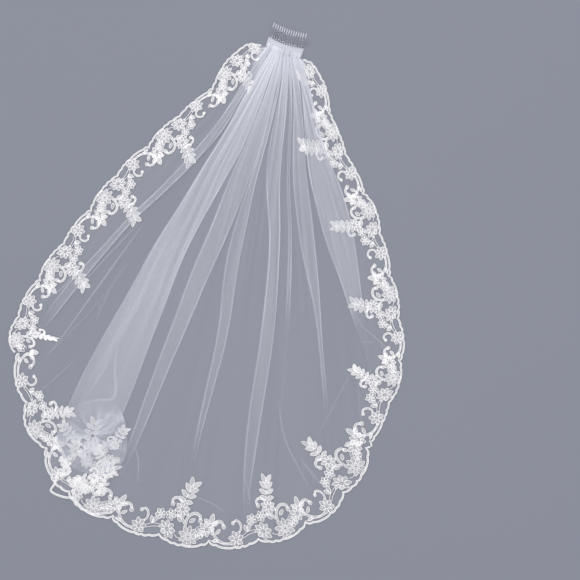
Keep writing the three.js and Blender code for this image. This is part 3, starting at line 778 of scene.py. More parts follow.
class Gap(NamedTuple):
    """The single cloth between two folds, and how many layers it shows as at three places."""

    top: float
    middle: float
    hem: float


# Where between header and hem the three numbers hold.
GAP_PLACES = (0.15, 0.5, 0.9)
# From left of the first fold to right of the last.
GAPS = [
    Gap(1.0, 1.1, 0.9), Gap(0.8, 0.5, 0.8), Gap(1.2, 1.0, 1.0), Gap(1.0, 0.9, 0.9), Gap(1.0, 0.9, 0.9),
    Gap(1.0, 1.0, 1.0), Gap(1.0, 1.0, 1.0), Gap(0.7, 0.5, 0.9), Gap(1.2, 1.0, 1.0),
]


class Pinch(NamedTuple):
    """A thin crease pinched up from the sheet: its width in millimetres, its layers and its route."""

    width: float
    plies: float
    route: tuple[Spot, ...]


PINCHES = [
    Pinch(9, 1.6, (Spot(-248, 45), Spot(-298, -11), Spot(-338, -33))),
    Pinch(5, 2.0, (Spot(-138, 125), Spot(-208, 51), Spot(-278, -25))),
    Pinch(6, 2.4, (Spot(-128, 125), Spot(-215, 5), Spot(-298, -111), Spot(-324, -145))),
    Pinch(4, 1.0, (Spot(-218, -31), Spot(-224, -71))),
    Pinch(3, 1.4, (Spot(-198, -11), Spot(-262, -80), Spot(-328, -145))),
    Pinch(3.5, 2.0, (Spot(-268, -151), Spot(-338, -215))),
    Pinch(5, 2.0, (Spot(138, -231), Spot(153, -311), Spot(203, -411))),
    Pinch(9, 1.4, (Spot(182, -347), Spot(224, -401))),
    Pinch(8, 0.9, (Spot(286, -171), Spot(218, -301))),
    Pinch(8, 0.8, (Spot(296, -161), Spot(306, -321))),
    Pinch(4.5, 2.2, (Spot(-34, -421), Spot(4, -437), Spot(32, -455))),
    Pinch(4, 3.0, (Spot(-148, -325), Spot(-141, -351), Spot(-143, -397))),
    Pinch(4, 2.0, (Spot(74, -389), Spot(80, -420), Spot(83, -453))),
    Pinch(2.5, 2.5, (Spot(305, -115), Spot(334, -115))),
    Pinch(3, 2.0, (Spot(341, -121), Spot(364, -141))),
    Pinch(4, 2.0, (Spot(282, -51), Spot(310, -85))),
    Pinch(4, 2.6, (Spot(298, -78), Spot(330, -104), Spot(367, -139))),
    Pinch(10, 3.6, (Spot(-262, -241), Spot(-226, -232), Spot(-192, -227), Spot(-186, -198),
                    Spot(-188, -171), Spot(-183, -125))),
    Pinch(5, 3.0, (Spot(-222, -262), Spot(-196, -259), Spot(-168, -271))),
    Pinch(25, 3.0, (Spot(-54, 129), Spot(-102, 45), Spot(-140, -31), Spot(-186, -111), Spot(-234, -195))),
    Pinch(4, 1.8, (Spot(-84, 99), Spot(-120, 33), Spot(-152, -31), Spot(-191, -111), Spot(-224, -165))),
    Pinch(4, 1.5, (Spot(-62, 93), Spot(-98, 33), Spot(-126, -15), Spot(-161, -83), Spot(-184, -121))),
    Pinch(7, 2.6, (Spot(-192, -140), Spot(-210, -171), Spot(-226, -195), Spot(-244, -221))),
    Pinch(9, 0.9, (Spot(-158, 45), Spot(-192, 1), Spot(-208, -31), Spot(-224, -71))),
    Pinch(7, 0.8, (Spot(-186, 41), Spot(-210, 9), Spot(-226, -19))),
]


class Column(NamedTuple):
    """A line of the sheet from header to hem: one number of each kind at every row.

    u is its place across the sheet, level its layer in a pleat, plies its layers of cloth and ridge
    how far a gather lifts it. A lifted column lies over the side lace.
    """

    u: np.ndarray
    level: np.ndarray
    plies: np.ndarray
    ridge: np.ndarray
    lifted: bool


class Bend(NamedTuple):
    """A step round the edge of a turn: how far out it goes and at what level."""

    out: float
    level: float


UPPER_TURN = (Bend(0.7, 1.85), Bend(1.0, 1.5), Bend(0.7, 1.15))
LOWER_TURN = (Bend(0.7, 0.85), Bend(1.0, 0.5), Bend(0.7, 0.15))


@dataclass
class TulleSheet:
    """The gathered sheet of tulle, with its pleats as real turns of the cloth.

    Lengths are in millimetres. Places between header and hem, and steps across the sheet, are
    shares of its length and width.
    """

    plan: VeilPlan
    rows: int = 150
    row_power: float = 1.25
    gap_step: float = 0.0062
    turn: float = 0.42
    fold_gap: float = 1.6
    edge: float = 1.0
    edge_fade: float = 2.4
    most_edge: float = 0.3
    edge_ridge: float = 0.15
    layer: float = 0.75
    gather_layer: float = 0.8
    gather_fade: float = 0.12
    gather_plies: float = 6.0
    gather_plies_fade: float = 0.075
    edge_plies: float = 2.2
    broad_softening: float = 0.7
    soft_span: tuple[float, float] = (0.35, 0.6)
    single_plies: float = 0.6
    gap_gathers: float = 0.6
    hem_thinning: float = 0.42
    thinning_span: tuple[float, float] = (0.5, 0.85)
    # How much of a pleat fades away at its end, and over what distance.
    faded: float = 0.9
    fade_length: float = 0.1
    packed_plies: float = 18.0
    packed_reach: float = 0.042
    over_lace: float = 3.3
    lace_slope: float = 14.0
    over_binding: float = 9.0
    binding_rows: tuple[float, ...] = (1.0, 0.6, 0.25)
    binding_foot: float = 0.6
    binding_clearance: float = 0.45
    binding_level: float = 0.2
    # Shares of the heights at the sides against those in the middle, for all and for the levels.
    side_share: float = 0.35
    level_share: float = 0.4
    ridge_height: float = 0.5
    gather_ridge: float = 0.7
    # The slope that the cloth comes down from the binding on.
    foot_share: float = 0.75
    foot_fade: float = 0.014
    foot_side: tuple[float, float] = (0.02, 0.08)
    foot_level: float = 0.25
    # Each level of a pleat shows another stretch of the streaks.
    level_shift: float = 0.37
    pinch_bed: float = 1.35
    pinch_rise: float = 0.9
    pinch_step: float = 4.0
    pinch_lines: int = 7
    pinch_billow: float = 0.6

    def layout(self) -> None:
        """Works out every column of the sheet: where it lies, at what level and how dense."""
        self.t = np.linspace(0, 1, self.rows + 1) ** self.row_power
        ends = self.plan.sheet(np.ones_like(self.t), self.t) - self.plan.sheet(np.zeros_like(self.t), self.t)
        self.width = np.linalg.norm(ends, axis=1)
        self.columns: list[Column] = []
        last = np.zeros_like(self.t)
        for number, fold in enumerate(FOLDS):
            left, right = self.along_places(fold.left), self.along_places(fold.right)
            self.gap(number, last, left - self.clipped(self.fold_gap, right - left))
            self.fold(fold, left, right, GAPS[number + 1])
            last = right
        self.gap(len(FOLDS), last, np.ones_like(self.t))

    def along_places(self, values: Sequence[float]) -> np.ndarray:
        """A smooth value through evenly placed entries, at every row."""
        step = FOLD_PLACES[1] - FOLD_PLACES[0]
        v = np.array([values[0], *values, values[-1]])
        x = np.clip(self.t / step, 0, len(values) - 1)
        i = np.minimum(x.astype(int), len(values) - 2)
        f = x - i
        a, b, c, d = v[i], v[i + 1], v[i + 2], v[i + 3]
        return b + 0.5 * f * (c - a + f * (2 * a - 5 * b + 4 * c - d + f * (3 * (b - c) + d - a)))

    def clipped(self, distance: float, width: np.ndarray) -> np.ndarray:
        """A distance in millimetres as a share of the sheet, at most a part of a fold's width."""
        return np.minimum(distance / self.width, self.most_edge * np.abs(width))

    def gap_plies(self, gap: Gap, tight: float = 1.0) -> np.ndarray:
        """How many layers a gap shows as, at every row, where it is gathered so tightly."""
        shown = np.interp(self.t, GAP_PLACES, gap)
        gathers = (1 + tight * self.gap_gathers * self.gathered()) * (1 + tight * (self.packed() - 1))
        return self.single_plies * shown * gathers

    def gathered(self) -> np.ndarray:
        """How much more densely the cloth is gathered towards the comb."""
        return self.gather_plies * np.exp(-self.t / self.gather_plies_fade)

    def packed(self) -> np.ndarray:
        """How tightly the gathers are packed just below the binding."""
        return 1 + self.packed_plies * np.exp(-((self.t / self.packed_reach) ** 2))

    def column(self, u: np.ndarray, level: float, plies: Any, ridge: Any = 0.0, lifted: bool = False) -> None:
        """Adds one column from header to hem."""
        levels, plies, ridge = (np.broadcast_to(v, self.t.shape) for v in (float(level), plies, ridge))
        self.columns.append(Column(u, levels, plies, ridge, lifted))

    def gap(self, number: int, left: np.ndarray, right: np.ndarray) -> None:
        """Adds the plain cloth between two folds."""
        widest = float((right - left)[self.t > 0.3].max())
        count = max(int(math.ceil(widest / self.gap_step)), 3)
        for i in range(0 if number == 0 else 1, count + 1):
            share = i / count
            tight = share**2 if number == 0 else (1 - share) ** 2 if number == len(FOLDS) else 1.0
            self.column(left + (right - left) * share, 0, self.gap_plies(GAPS[number], tight))

    def fold(self, fold: Fold, left: np.ndarray, right: np.ndarray, after: Gap) -> None:
        """Adds a pleat: over to its right edge, back below to its left one, and on again.

        Args:
            fold: The pleat.
            left: Its left edge at every row, as a share across the sheet.
            right: Its right edge.
            after: The plain cloth that follows it.
        """
        shown = 1 - self.faded * smooth(self.t, fold.shows - self.fade_length, fold.shows)
        thinned = fold.plies * (1 - self.hem_thinning * smooth(self.t, *self.thinning_span))
        plies = thinned * shown * (1 + self.gathered())
        under = self.gap_plies(after) * 0.5 + 0.5 * thinned * (1 + self.gathered())
        near, far = (self.clipped(reach, right - left) for reach in (self.edge, self.edge_fade))
        soft = 1 - self.broad_softening * smooth(self.t, *self.soft_span) * (fold.ridges > 2)
        crease = plies + self.edge_plies * shown * soft * (0.6 + 0.4 * fold.plies)
        inner = 5 * fold.ridges + 2
        shares = [(i + 1) / (inner + 1) for i in range(inner)]
        lifted = fold.name.startswith("side")

        def across(level: float, dense: np.ndarray, edge: np.ndarray, steps: Sequence[float]) -> None:
            """Adds one layer of the pleat from edge to edge, the middle layer backwards."""
            low, high = left + far, right - far
            row = [(left, edge, 0.0), (left + near, edge, 0.0), (low, dense, self.edge_ridge)]
            for share in steps:
                ridge = 0.5 - 0.5 * math.cos(2 * math.pi * share * fold.ridges)
                row.append((low + (high - low) * share, dense, ridge))
            row += [(high, dense, self.edge_ridge), (right - near, edge, 0.0), (right, edge, 0.0)]
            for u, thick, ridge in reversed(row) if level == 1 else row:
                self.column(u, level, thick, ridge * (level / 2), lifted and level > 0)

        across(2, plies, crease, shares)
        bend = self.turn / self.width
        for step in UPPER_TURN:
            self.column(right + bend * step.out, step.level, plies, 0.0, lifted)
        across(1, plies, plies, shares[1::3])
        for step in LOWER_TURN:
            self.column(left - bend * step.out, step.level, plies, 0.0, lifted and step.level > 0.4)
        across(0, under, under, shares[1::3])

    def height(self, u: np.ndarray, t: np.ndarray, flat: np.ndarray, along: np.ndarray, depth: np.ndarray,
               level: np.ndarray, ridge: np.ndarray) -> np.ndarray:
        """How high the sheet's points lie.

        Args:
            u: Their places across the sheet.
            t: Their places from header to hem.
            flat: Their places on the floor plane.
            along: How far along the edge each is.
            depth: How deep in from the edge each is.
            level: The layer of the pleat that each is in.
            ridge: How far a gather lifts each.

        Returns:
            Their heights.
        """
        near_comb = np.exp(-t / self.gather_fade)
        step = self.layer + self.gather_layer * near_comb
        arch = self.side_share + (1 - self.side_share) * 4 * u * (1 - u)
        height = self.plan.billow(flat) + level * step * (self.level_share + (1 - self.level_share) * arch)
        height += ridge * (self.ridge_height + self.gather_ridge * near_comb) * arch
        lace = self.plan.lace_reach(along)
        cover = 1 - smooth(depth, lace, lace + self.lace_slope)
        lifted = np.array([column.lifted for column in self.columns])[None, :]
        height += np.where(lifted, cover * self.over_lace, 0.0)
        roll = HeaderBinding(self.plan).height(u) * self.foot_share
        foot = roll * np.exp(-t / self.foot_fade) * smooth(u, *self.foot_side) + self.foot_level * level
        return np.maximum(height, foot)

    def surface(self) -> tuple[np.ndarray, np.ndarray, np.ndarray]:
        """Places every point of the sheet, from its edge over the binding to the hem.

        Returns:
            The points, their texture places and their plies, rows by columns.
        """
        u, level, plies, ridge = (np.stack([column[i] for column in self.columns], 1) for i in range(4))
        t = np.broadcast_to(self.t[:, None], u.shape)
        flat = self.plan.drape(np.clip(u, 0, 1), t)
        along, depth = (found.reshape(u.shape) for found in self.plan.nearest(flat.reshape(-1, 2)))
        out = self.plan.scallop(along) * (1 - smooth(depth, 0, self.plan.scallop_follow))
        flat = flat - self.plan.inward(along) * out[..., None]
        points = with_height(flat, self.height(u, t, flat, along, depth, level, ridge))
        places = np.stack([u + self.level_shift * level, t], -1)
        backs = [self.over_binding * share for share in self.binding_rows] + [self.binding_foot]
        binding = HeaderBinding(self.plan)
        top = np.stack([
            with_height(
                self.plan.header(u[0], back),
                binding.top(u[0], back) + self.binding_clearance + self.binding_level * level[0],
            )
            for back in backs
        ])
        before = np.stack([u[:1] + self.level_shift * level[:1], -np.full_like(u[:1], 0.01)], -1)
        share = np.array([1.0, 0.66, 0.33, 0.1])[:, None, None]
        extra = places[:1] + (before - places[:1]) * share
        dense = np.concatenate([np.repeat(plies[:1], len(backs), 0), plies])
        return np.concatenate([top, points]), np.concatenate([extra, places]), dense

    def pinch(self, maker: MeshMaker, crease: Pinch) -> None:
        """Adds one pinched ridge on top of the sheet."""
        route = np.array(crease.route, float)
        line = evenly(soft_line(route, 12) if len(route) > 2 else route, self.pinch_step) - ORIGIN
        share = np.linspace(0, 1, len(line))
        swell = np.sqrt(np.clip(np.sin(np.pi * share), 0, 1))[:, None]
        steps = np.linspace(-1, 1, self.pinch_lines)[None]
        hump = np.cos(steps * np.pi / 2) ** 2
        points = line[:, None] + sideways(line)[:, None] * (steps[..., None] * crease.width / 2)
        bed = self.pinch_bed + self.plan.billow(line)[:, None] * self.pinch_billow
        lift = bed + hump * swell * self.pinch_rise
        places = np.stack(np.broadcast_arrays(0.1 * steps, share[:, None]), -1)
        maker.grid(with_height(points, lift), places, crease.plies * hump * swell)

    def build(self, material: bpy.types.Material) -> bpy.types.Object:
        """Makes the sheet.

        Args:
            material: The tulle.

        Returns:
            The piece, which stands for the panel and the folds over the side lace.
        """
        self.layout()
        maker = MeshMaker()
        maker.grid(*self.surface())
        for crease in PINCHES:
            self.pinch(maker, crease)
        made = maker.piece("tulle_sheet", material)
        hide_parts("tulle_panel", "fold_left", "fold_right")
        return made


# The corner where the broad fold opens into a rounded bag over the lace.
CORNER_SPOTS = [
    Spot(-262, -229), Spot(-230, -216), Spot(-196, -229), Spot(-171, -263), Spot(-163, -309),
    Spot(-170, -350), Spot(-194, -374), Spot(-238, -378), Spot(-278, -361), Spot(-299, -329),
    Spot(-302, -290), Spot(-288, -254),
]


class BagCrease(NamedTuple):
    """A crease of the bag: its width, how far it rises or sinks, and its route."""

    width: float
    rise: float
    route: tuple[Spot, ...]


BAG_CREASES = [
    BagCrease(5.0, 1.2, (Spot(-262, -241), Spot(-192, -227), Spot(-188, -171))),
    BagCrease(5.0, 1.6, (Spot(-218, -265), Spot(-190, -262), Spot(-168, -271))),
    BagCrease(9.0, -1.8, (Spot(-286, -330), Spot(-262, -285), Spot(-236, -252))),
    BagCrease(8.0, 1.3, (Spot(-250, -350), Spot(-226, -310), Spot(-205, -290))),
    BagCrease(8.0, -1.5, (Spot(-196, -352), Spot(-184, -318), Spot(-182, -296))),
]


class BagLayer(NamedTuple):
    """One layer of the bag: its size, how far its middle lies below the top, and its plies."""

    scale: float
    drop: float
    plies: float


BAG_LAYERS = [BagLayer(1.0, 0.0, 1.5), BagLayer(0.94, 0.9, 1.2), BagLayer(0.85, 2.2, 1.0)]


@dataclass
class CornerBag:
    """Folded tulle that stands up as a soft bag at the lower left corner."""

    plan: VeilPlan
    under: float = 3.2
    rim: float = 1.2
    crown: float = 11.5
    rings: int = 26
    sides: int = 96
    rim_plies: float = 2.0
    crease_plies: float = 0.35
    low_thinning: float = 0.2
    roundness: float = 2.4
    softness: float = 1.1
    # The cloth that a layer takes round the rim and in to its middle, in metres of its pattern.
    cloth: tuple[float, float] = (0.15, 0.2)
    # The bag's mouth, where its cloth goes on into the broad fold.
    mouth: tuple[float, float] = (-0.25, 0.97)

    def __post_init__(self) -> None:
        """Draws the rim."""
        line = soft_line(CORNER_SPOTS, 12, closed=True) - ORIGIN
        outline = evenly(np.vstack([line, line[:1]]), 1.0)
        at = np.linspace(0, len(outline) - 1, self.sides + 1)[:-1]
        grid = np.arange(len(outline))
        rim_line = np.stack([np.interp(at, grid, outline[:, k]) for k in (0, 1)], -1)
        self.middle = rim_line.mean(0)
        self.rays = rim_line - self.middle
        self.ray_lengths = np.linalg.norm(self.rays, axis=1)

    def dome(self, share: np.ndarray) -> np.ndarray:
        """Height over the lace at a share of the way from the middle to the rim."""
        return self.rim + self.crown * np.clip(1 - share**self.roundness, 0, 1) ** self.softness

    def creases(self, points: np.ndarray) -> np.ndarray:
        """How far the main creases push the top up or down at points."""
        total = np.zeros(points.shape[:-1])
        for crease in BAG_CREASES:
            line = soft_line(crease.route, 10) - ORIGIN
            far = np.sqrt(((points[..., None, :] - line) ** 2).sum(-1)).min(-1)
            total += crease.rise * np.exp(-((far / crease.width) ** 2))
        return total

    def top(self, points: np.ndarray) -> np.ndarray:
        """Height of the bag's top over points on the floor plane, or the rim's height beside it."""
        from_middle = points - self.middle
        angle = np.arctan2(from_middle[..., 1], from_middle[..., 0])
        ray_angle = np.arctan2(self.rays[:, 1], self.rays[:, 0])
        order = np.argsort(ray_angle)
        reach = np.interp(angle, ray_angle[order], self.ray_lengths[order], period=2 * np.pi)
        share = np.linalg.norm(from_middle, axis=-1) / reach
        return np.where(share < 1, self.under + self.dome(np.minimum(share, 1)), self.under)

    def layer(self, maker: MeshMaker, row: BagLayer) -> None:
        """Adds one layer, denser along its rim but for the mouth, where it merges into the fold."""
        share = (np.linspace(0.02, 1, self.rings) ** 0.8)[:, None]
        flat = self.middle + self.rays[None] * (share * row.scale)[..., None]
        creased = self.creases(flat)
        height = self.under + np.maximum(self.dome(share) - row.drop * (1 - share**4), 0.1)
        height = height + creased * smooth(1 - share, 0, 0.15)
        facing = self.rays / self.ray_lengths[:, None]
        upper = smooth(facing @ np.array(self.mouth), 0.2, 0.8)[None]
        rim = smooth(share, 0.93, 0.99) * (1 - upper) * self.rim_plies
        merge = 1 - smooth(share, 0.6, 1.0) * upper
        low = smooth(self.middle[1] - flat[..., 1], -10, 50)
        plies = row.plies * merge * (1 - self.low_thinning * low) + rim
        plies = plies + self.crease_plies * np.maximum(creased, 0) * merge
        turn = np.linspace(0, 1, self.sides + 1)[None]
        places = np.stack(np.broadcast_arrays(self.cloth[0] * turn, self.cloth[1] * share), -1)
        maker.grid(with_height(flat, height), places, plies, round_it=True)

    def build(self, material: bpy.types.Material) -> bpy.types.Object:
        """Makes the bag's layers.

        Args:
            material: The tulle.

        Returns:
            The piece, which stands for the corner solid.
        """
        maker = MeshMaker()
        for row in BAG_LAYERS:
            self.layer(maker, row)
        made = maker.piece("corner_bag", material)
        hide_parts("corner_fold")
        return made


class Part(Enum):
    """The parts of the lace's repeat that also lie loose in the corner, and the rest of it."""

    SPRAY = "spray"
    CLUSTER = "cluster"
    FLOWER = "flower"
    REST = "rest"


class Flower(NamedTuple):
    """A lace flower: its middle, its reach, its petals, its turn in degrees and its centre."""

    at: Spot
    reach: float
    petals: int
    turn: float
    part: Part = Part.REST
    ringed: bool = False


class Leaf(NamedTuple):
    """A lace leaf, from its root to its tip."""

    root: Spot
    tip: Spot
    width: float
    part: Part = Part.REST


class Scroll(NamedTuple):
    """A band between two cords that ends in a curled ball (of no size where it has none)."""

    width: float
    ball: float
    route: tuple[Spot, ...]
    part: Part = Part.REST


class Stem(NamedTuple):
    """A single cord."""

    route: tuple[Spot, ...]
    part: Part = Part.REST


# One repeat of the lace, 200 mm along the edge and 134 mm deep. x runs along the edge from the
# middle of the open scroll, y in from the edge.
FLOWERS = [
    Flower(Spot(30, 16), 14.5, 7, 12),
    Flower(Spot(87, 21), 17, 8, 4),
    Flower(Spot(68, 48), 11.5, 6, 20),
    Flower(Spot(89, 51), 11, 6, 48),
    Flower(Spot(112, 65), 16, 8, 11, Part.SPRAY),
    Flower(Spot(132, 18), 18.5, 9, 5, Part.FLOWER, ringed=True),
    Flower(Spot(168, 31), 16.5, 8, 8, Part.CLUSTER),
    Flower(Spot(153, 22), 10, 5, 30, Part.CLUSTER),
]
LEAVES = [
    Leaf(Spot(62, 40), Spot(55, 27), 8.0),
    Leaf(Spot(55, 27), Spot(49, 40), 7.5),
    Leaf(Spot(114, 81), Spot(99, 90), 8.5, Part.SPRAY),
    Leaf(Spot(117, 92), Spot(102, 104), 9.0, Part.SPRAY),
    Leaf(Spot(121, 103), Spot(109, 119), 9.5, Part.SPRAY),
    Leaf(Spot(124, 112), Spot(122, 133), 10.5, Part.SPRAY),
    Leaf(Spot(125, 112), Spot(147, 124), 9.5, Part.SPRAY),
    Leaf(Spot(122, 102), Spot(142, 109), 9.0, Part.SPRAY),
    Leaf(Spot(118, 92), Spot(138, 95), 8.5, Part.SPRAY),
    Leaf(Spot(116, 82), Spot(132, 80), 8.0, Part.SPRAY),
    Leaf(Spot(176, 43), Spot(181, 65), 10.0, Part.CLUSTER),
    Leaf(Spot(173, 43), Spot(161, 52), 8.5, Part.CLUSTER),
    Leaf(Spot(180, 42), Spot(193, 47), 8.5, Part.CLUSTER),
    Leaf(Spot(-8, 12), Spot(-20, 6), 6.0),
    Leaf(Spot(-12, 24), Spot(-3, 34), 6.0),
    Leaf(Spot(105, 50), Spot(113, 40), 7.0),
    Leaf(Spot(131, 43), Spot(142, 50), 7.0),
]
SCROLLS = [
    Scroll(5.4, 4.4, (Spot(20, 9), Spot(8, 8), Spot(-5, 11), Spot(-15, 19), Spot(-20, 30),
                      Spot(-18, 42), Spot(-9, 49), Spot(0, 47), Spot(4, 40))),
    Scroll(4.2, 3.6, (Spot(37, 27), Spot(42, 35), Spot(40, 45), Spot(32, 50), Spot(26, 46))),
    Scroll(4.8, 4.4, (Spot(108, 78), Spot(101, 85), Spot(92, 86), Spot(86, 80), Spot(88, 74)), Part.SPRAY),
    Scroll(5.4, 4.4, (Spot(123, 34), Spot(124, 46), Spot(131, 57), Spot(142, 61), Spot(152, 56),
                      Spot(153, 49))),
    Scroll(4.2, 0, (Spot(98, 51), Spot(107, 51), Spot(115, 46), Spot(121, 38))),
]
STEMS = [
    Stem((Spot(-25, 5), Spot(-13, 8), Spot(1, 8), Spot(17, 11))),
    Stem((Spot(43, 21), Spot(56, 26), Spot(71, 25))),
    Stem((Spot(44, 16), Spot(57, 20), Spot(71, 20))),
    Stem((Spot(112, 80), Spot(118, 95), Spot(124, 112)), Part.SPRAY),
    Stem((Spot(103, 17), Spot(110, 13), Spot(117, 13))),
    Stem((Spot(144, 31), Spot(150, 36), Spot(157, 36))),
]

# The middle of each part in the repeat, about which a loose one is turned.
PART_MIDDLES = {Part.SPRAY: Spot(113, 70), Part.CLUSTER: Spot(167, 31), Part.FLOWER: Spot(133, 18)}


class LooseLace(NamedTuple):
    """A part of the lace that lies crumpled at the corner: where, how turned and how large."""

    part: Part
    at: Spot
    turn: float
    scale: float


OVER_BAG = [
    LooseLace(Part.SPRAY, Spot(-226, -386), -52, 0.72),
    LooseLace(Part.CLUSTER, Spot(-262, -396), -20, 0.70),
    LooseLace(Part.CLUSTER, Spot(-286, -372), 25, 0.66),
    LooseLace(Part.FLOWER, Spot(-246, -408), 60, 0.62),
    LooseLace(Part.CLUSTER, Spot(-214, -410), 10, 0.66),
]
UNDER_BAG = [
    LooseLace(Part.SPRAY, Spot(-236, -318), 6, 0.86),
    LooseLace(Part.CLUSTER, Spot(-268, -334), 34, 0.78),
    LooseLace(Part.CLUSTER, Spot(-214, -330), -25, 0.84),
    LooseLace(Part.SPRAY, Spot(-186, -318), -14, 0.66),
    LooseLace(Part.FLOWER, Spot(-286, -352), 15, 0.70),
    LooseLace(Part.FLOWER, Spot(-244, -352), 100, 0.76),
    LooseLace(Part.CLUSTER, Spot(-196, -352), 150, 0.74),
    LooseLace(Part.FLOWER, Spot(-222, -366), 30, 0.78),
    LooseLace(Part.SPRAY, Spot(-268, -306), 62, 0.70),
    LooseLace(Part.SPRAY, Spot(-250, -336), -40, 0.64),
    LooseLace(Part.SPRAY, Spot(-208, -356), 48, 0.60),
]

# Border of the flap of lace that lies over the lower left corner.
FLAP_SPOTS = [
    Spot(-300, -369), Spot(-309, -399), Spot(-316, -411), Spot(-310, -417), Spot(-288, -425),
    Spot(-270, -427), Spot(-262, -437), Spot(-238, -457), Spot(-208, -457), Spot(-194, -455),
]


@dataclass
class LaceMotif:
    """Draws one motif as cords and stitches in the flat of the repeat."""

    anchor: Spot
    grows: bool
    cord: float = 0.56
    stem_cord: float = 1.2
    pitch: float = 1.75
    scroll_pitch: float = 2.0125
    ring_pitch: float = 1.6
    petal_start: float = 0.2
    petal_width: float = 0.66
    uneven: float = 0.07
    overlap: float = 0.25
    button: float = 1.5
    # A ringed flower: its narrower petals, its two rings and the spokes between them.
    ringed_width: float = 0.6
    eye: float = 5.2
    pupil: float = 2.2
    spokes: int = 14
    spoke_ends: tuple[float, float] = (2.4, 5.0)
    # A scroll: its width where it is slimmest, and the rings of its ball.
    slimmest: float = 0.45
    ball_rings: tuple[float, ...] = (1.0, 0.62, 0.24)
    cords: list[tuple[np.ndarray, float, bool]] = field(default_factory=list)
    bars: list[np.ndarray] = field(default_factory=list)

    def lay(self, flat: np.ndarray, height: float, closed: bool = True, thick: float = 1.0) -> None:
        """Lays a cord along a flat line."""
        self.cords.append((with_height(flat, height), self.cord * thick, closed))

    def bar(self, middle: np.ndarray, out: np.ndarray, height: float) -> None:
        """Adds a stitch that reaches as far out to each side of its middle."""
        self.bars.append(with_height(np.array([middle + out, middle - out]), height))

    def outline(self, root: np.ndarray, tip: np.ndarray, width: float, height: float) -> None:
        """Draws a petal or leaf: a pointed oval of cord filled with stitches across.

        Args:
            root: Its narrow end.
            tip: Its far end.
            width: Its greatest width.
            height: How high it lies over the net.
        """
        ahead = tip - root
        length = float(np.linalg.norm(ahead))
        ahead = ahead / length
        aside = np.array([-ahead[1], ahead[0]])

        def half(share: Any) -> np.ndarray:
            """Half the width at shares of the length."""
            return width / 2 * np.sin(np.pi * np.clip(share, 0, 1) ** 0.9) ** 0.75

        share = np.linspace(0, 1, 9)
        spine = root + ahead * (share * length)[:, None]
        out = aside * half(share)[:, None]
        self.lay(np.vstack([spine + out, (spine - out)[-2:0:-1]]), height)
        for place in np.linspace(0.14, 0.88, max(int(length * 0.8 / self.pitch), 2)):
            self.bar(root + ahead * place * length, aside * float(half(place)), height)

    def flower(self, row: Flower, height: float) -> None:
        """Draws a flower."""
        middle = np.array(row.at)
        inner = self.eye if row.ringed else row.reach * self.petal_start
        share = self.ringed_width if row.ringed else self.petal_width
        width = 2 * row.reach * math.sin(math.pi / row.petals) * share
        for i in range(row.petals):
            ahead = heading(math.radians(row.turn) + 2 * math.pi * i / row.petals)
            reach = row.reach * (1 + self.uneven * math.sin(5 * i + row.at.x))
            lift = height + self.overlap * (i % 2)
            self.outline(middle + ahead * inner, middle + ahead * reach, width, lift)
        self.ring(middle, inner if row.ringed else self.button, height + 0.6)
        if row.ringed:
            self.ring(middle, self.pupil, height + 0.7)
            for i in range(self.spokes):
                ahead = heading(2 * math.pi * i / self.spokes)
                ends = np.array([middle + ahead * far for far in self.spoke_ends])
                self.bars.append(with_height(ends, height + 0.5))

    def ring(self, middle: np.ndarray, radius: float, height: float) -> None:
        """Draws a small ring of cord."""
        count = max(int(2 * math.pi * radius / self.ring_pitch), 7)
        turn = 2 * np.pi * np.arange(count) / count
        self.lay(middle + radius * np.stack([np.cos(turn), np.sin(turn)], -1), height)

    def scroll(self, row: Scroll, height: float) -> None:
        """Draws a scroll, two cords with stitches between them, and the curled ball at its end."""
        line = evenly(soft_line(row.route, 8), self.scroll_pitch)
        swell = np.sin(np.pi * np.linspace(0.12, 0.75, len(line)))
        taper = self.slimmest + (1 - self.slimmest) * swell
        out = sideways(line) * (taper[:, None] * row.width / 2)
        for side in (-1, 1):
            self.lay(line + out * side, height, closed=False)
        for middle, reach in zip(line[1:-1], out[1:-1]):
            self.bar(middle, reach, height)
        if row.ball:
            ahead = line[-1] - line[-3]
            middle = line[-1] + ahead / np.linalg.norm(ahead) * row.ball * 0.35
            for share in self.ball_rings:
                self.ring(middle, row.ball * share, height + 0.2)

    def stem(self, row: Stem, height: float) -> None:
        """Draws a stem."""
        self.lay(evenly(soft_line(row.route, 8), 3.0), height, closed=False, thick=self.stem_cord)


